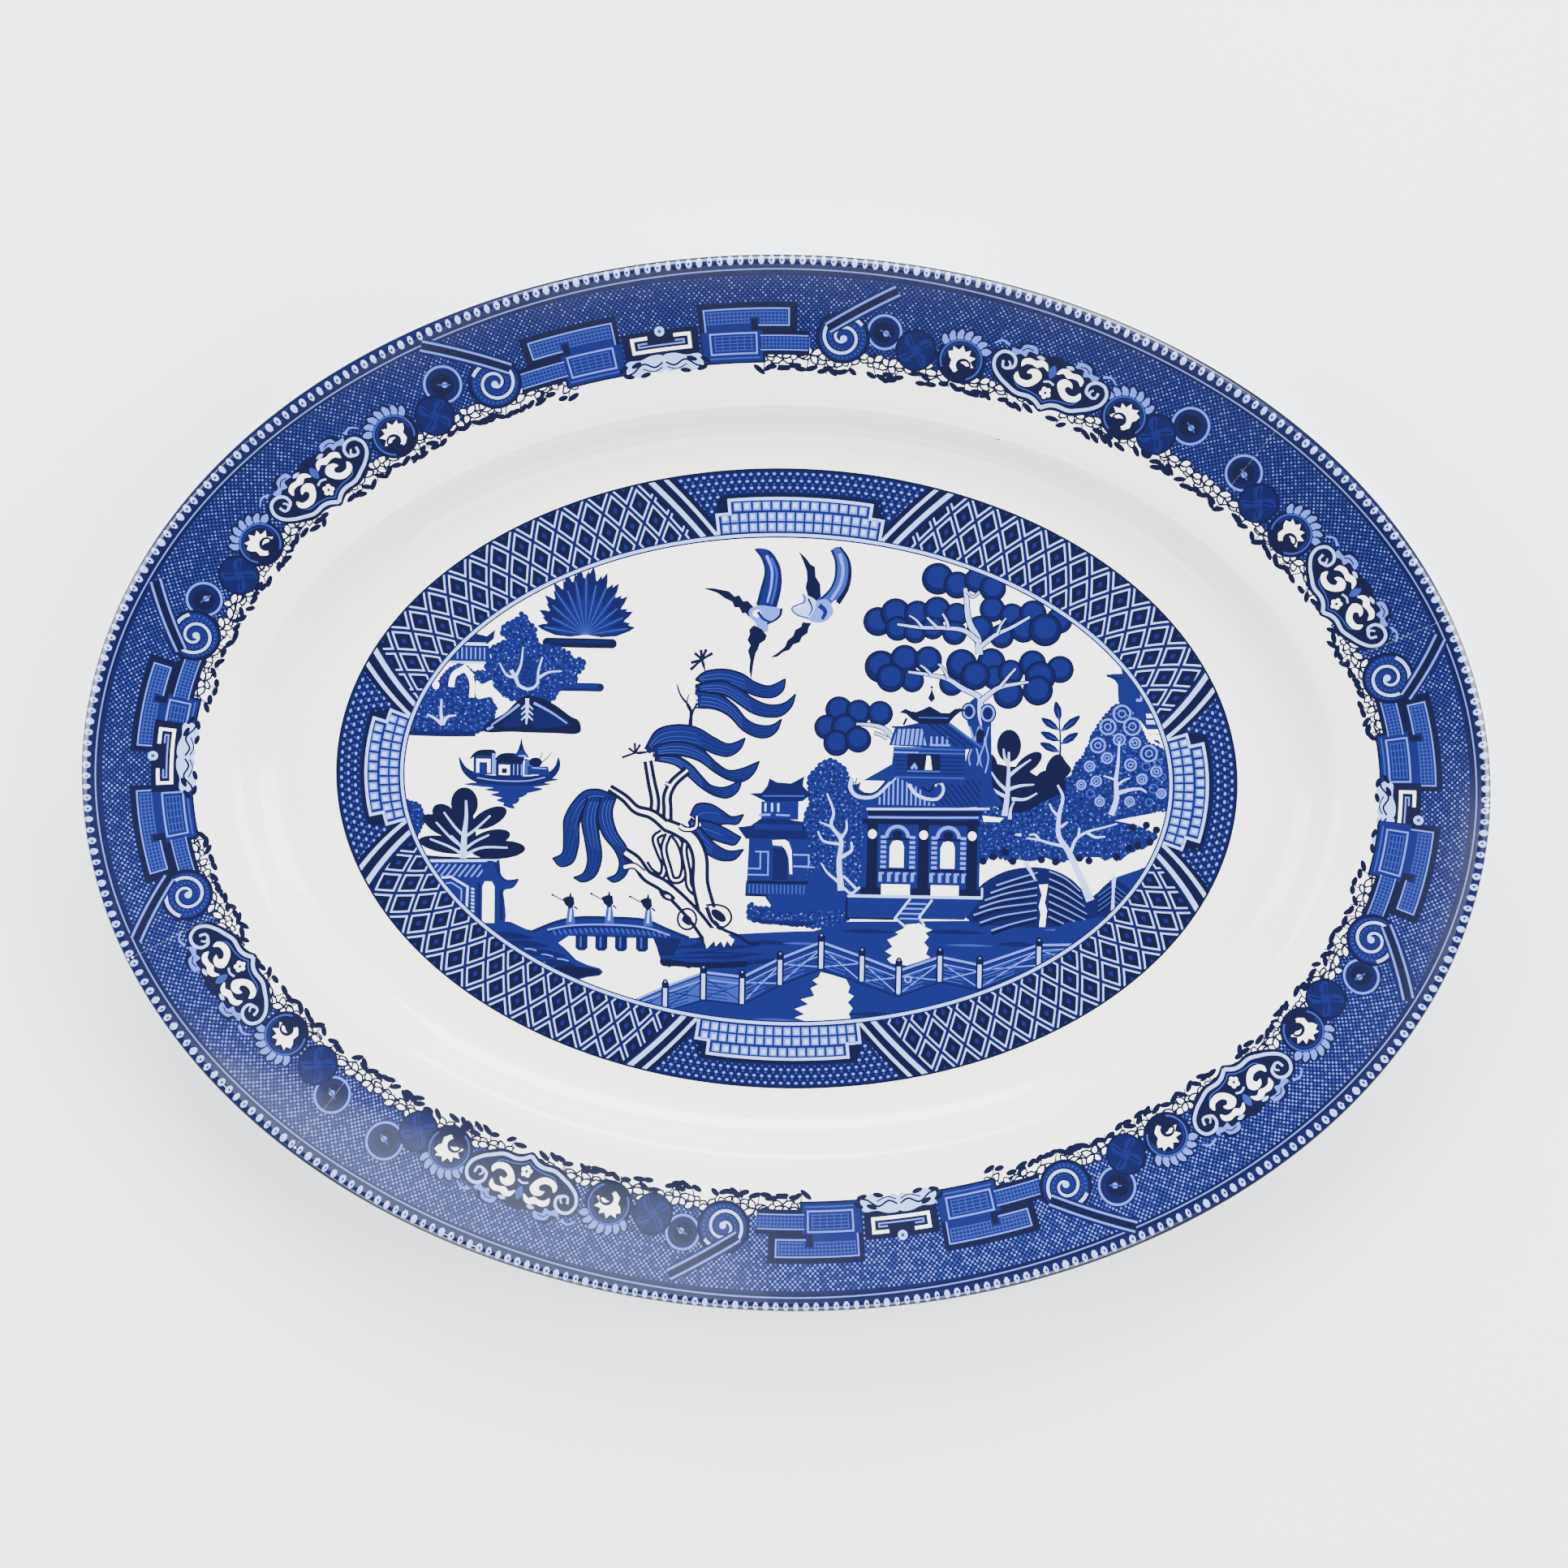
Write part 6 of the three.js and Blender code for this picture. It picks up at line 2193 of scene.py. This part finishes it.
@dataclass
class Studio:
    """The paper sweep, the soft lights and the camera over the platter."""

    distance: float = 1.2
    tilt_x: float = 2.5
    tilt_y: float = 7.0
    roll: float = 0.92
    lens: float = 108.9
    aim: tuple[float, float, float] = (0.0003, 0.0007, 0.02)
    world: float = 0.3
    softbox_height: float = 1.25
    softbox_size: tuple[float, float] = (2.2, 1.3)
    softbox_tint: tuple[float, float, float] = (0.95, 0.98, 1.0)
    softboxes: tuple[tuple[str, float, float, float], ...] = (
        ("left", -2.0, 0.3, 118),
        ("right", 2.0, 0.3, 150),
        ("far", 0.2, 2.0, 205),
        ("near", -0.2, -2.0, 75),
    )
    window: Lamp = Lamp("window", (0.5, 0.85, 2.0), (0, 0, 0), (1.2, 0.6), 9, (0.8, 0.9, 1.0))

    def set_camera(self) -> None:
        """Adds the camera, nearly straight above the platter."""
        camera = bpy.data.objects.new("view_from_above", bpy.data.cameras.new("view_from_above"))
        camera.data.lens = self.lens
        camera.data.clip_end = 20
        x, y = math.tan(math.radians(self.tilt_x)), math.tan(math.radians(self.tilt_y))
        away = Vector((x, y, 1)).normalized() * self.distance
        place = tuple(away + Vector(self.aim))
        camera.location = place
        camera.rotation_euler = looking(place, self.aim, self.roll)
        bpy.context.scene.collection.objects.link(camera)
        bpy.context.scene.camera = camera

    def lay_floor(self) -> None:
        """Lays the paper under the platter."""
        bpy.ops.object.select_all(action="DESELECT")
        bpy.ops.mesh.primitive_plane_add(size=6, location=(0, 0, 0))
        floor = bpy.context.object
        floor.name = "paper_sweep"
        floor.data.materials.append(Sweep().make())

    def light(self) -> None:
        """Hangs the lights and sets the pale surroundings."""
        world = bpy.data.worlds.new("pale_room")
        world.use_nodes = True
        background = world.node_tree.nodes["Background"]
        background.inputs["Color"].default_value = (0.93, 0.96, 1.0, 1)
        background.inputs["Strength"].default_value = self.world
        bpy.context.scene.world = world
        for name, x, y, watts in self.softboxes:
            place = (x, y, self.softbox_height)
            Lamp(f"{name}_softbox", place, (0, 0, 0), self.softbox_size, watts, self.softbox_tint).hang()
        self.window.hang()

    def build(self) -> None:
        """Sets up the whole studio."""
        self.set_camera()
        self.lay_floor()
        self.light()


# ---------------------------------------------------------------- the whole platter


@dataclass
class Platter:
    """Every printed film and the body that carries them."""

    shape: PlatterShape
    rim_middle: float = 14.0
    strip_margin: float = 7.0
    lip_turn: float = 50.0
    joins: tuple[float, ...] = (20.0, 45.0, 200.0, 225.0)
    strips: tuple[str, ...] = (
        "border_strip_east", "border_strip_north", "border_strip_west", "border_strip_south",
    )
    join_gap: float = 0.02
    lip_pitch: float = 1.21
    lip_rows: tuple[float, ...] = (0.75, 0.95, 1.2, 1.5, 1.85, 2.3, 2.8, 3.4)
    rim_pitch: float = 3.5
    rim_rows: tuple[float, ...] = (6, 9, 12, 15, 18, 21, 24, 27, 29.5)
    under_pitch: float = 7.0
    under_rows: tuple[float, ...] = (1.0, 1.6, 2.4, 9, 16, 23)

    def build_body(self) -> None:
        """Builds the body and lets it stand for the solid one."""
        body = PlatterBody(self.shape)
        piece = body.build()
        body.dress(piece)
        self.place(piece, "platter_body", "glaze")

    def place(self, piece: bpy.types.Object, node: str, slot: str) -> None:
        """Binds a piece to the platter.

        Args:
            piece: the piece.
            node: the solid node that it stands for.
            slot: not used.
        """
        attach(piece, "root")
        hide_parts(node)
        log.info("%s: %d faces for %s", piece.name, len(piece.data.polygons), node)

    def lay(self, film: Film, node: str, inks: Sequence[bpy.types.Material]) -> None:
        """Builds a film, gives it a slot for each strength of ink and binds it.

        Args:
            film: the film.
            node: the solid node that it stands for.
            inks: the materials, palest first.
        """
        piece = film.build()
        for material in inks:
            piece.data.materials.append(material)
        self.place(piece, node, "ink")

    def build_centre(self, inks: Sequence[bpy.types.Material]) -> None:
        """Builds the oval print in the well.

        Args:
            inks: the materials, palest first.
        """
        half, edge = oval_of("centre_print", 360)
        band = WellBand(OvalTrack(half[0], half[1], 8.6))
        ground, lines = band.draw()
        scene = Landscape(Sheet(mask=band.inner_edge())).draw()
        film = Film(
            "centre_transfer", [ground, scene, lines], edge,
            lambda places: self.shape.lift_flat(places, self.shape.floor_height),
        )
        self.lay(film, "centre_print", inks)

    def build_border(self, inks: Sequence[bpy.types.Material]) -> None:
        """Builds the four strips of border, which meet where the printed sheets did.

        Args:
            inks: the materials, palest first.
        """
        track = OvalTrack(self.shape.length / 2, self.shape.width / 2, self.rim_middle)
        sheets = RimBorder(track).draw()
        outer = self.shape.lip_radius * (1 - math.sin(math.radians(self.lip_turn)))
        inner = self.shape.rim_width - self.strip_margin
        turns = [np.interp(math.radians(angle), track.turns, track.lengths) for angle in self.joins]
        turns.append(turns[0] + track.around)
        for name, start, end in zip(self.strips, turns, turns[1:]):
            start, end = start + self.join_gap / 2, end - self.join_gap / 2
            reach = np.linspace(start, end, int((end - start) / 1.5))
            rows = np.linspace(outer, inner, 24)
            edge = [(u, outer) for u in reach] + [(end, v) for v in rows[1:-1]]
            edge += [(u, inner) for u in reach[::-1]] + [(start, v) for v in rows[-2:0:-1]]
            lip_grid = grid_of(np.arange(start + 1.2, end - 1, self.lip_pitch), self.lip_rows)
            rim_grid = grid_of(np.arange(start + 2, end - 1, self.rim_pitch), self.rim_rows)
            under_grid = grid_of(np.arange(start + 3, end - 2, self.under_pitch), self.under_rows)
            film = Film(
                f"{name}_transfer", sheets, track(np.array(edge)), self.shape.lift_rim,
                track(np.concatenate([lip_grid, rim_grid])), track(under_grid),
            )
            self.lay(film, name, inks)

    def build_mark(self, inks: Sequence[bpy.types.Material]) -> None:
        """Builds the small wreath under the base.

        Args:
            inks: the materials, palest first.
        """
        half, edge = oval_of("base_mark", 96)
        film = Film(
            "base_wreath", [BaseWreath(half[0], half[1]).draw()], edge,
            lambda places: self.shape.lift_flat(places, self.shape.base_height), facing=-1.0,
        )
        self.lay(film, "base_mark", inks)


def oval_of(node: str, parts: int) -> tuple[np.ndarray, np.ndarray]:
    """Takes an oval from a solid node.

    Args:
        node: the node's name.
        parts: how many parts its edge has.

    Returns:
        Half its length and width, and the points round its edge.
    """
    low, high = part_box(node)
    half = np.array([high[0] - low[0], high[1] - low[1]]) / 2 / MM
    turn = np.linspace(0, 2 * math.pi, parts + 1)[:-1]
    return half, np.stack([np.cos(turn), np.sin(turn)], axis=1) * half


def grid_of(lengths: np.ndarray, insets: Sequence[float]) -> np.ndarray:
    """Returns every pairing of a length along a track with an inset."""
    return np.array([(u, v) for u in lengths for v in insets])


def main() -> None:
    """Builds the platter and the studio."""
    logging.basicConfig(level=logging.INFO, format="%(message)s")
    Studio().build()
    platter = Platter(PlatterShape.from_frame())
    inks = [ink.make() for ink in INKS]
    platter.build_body()
    platter.build_centre(inks)
    platter.build_border(inks)
    platter.build_mark(inks)


if __name__ == "__main__":
    main()
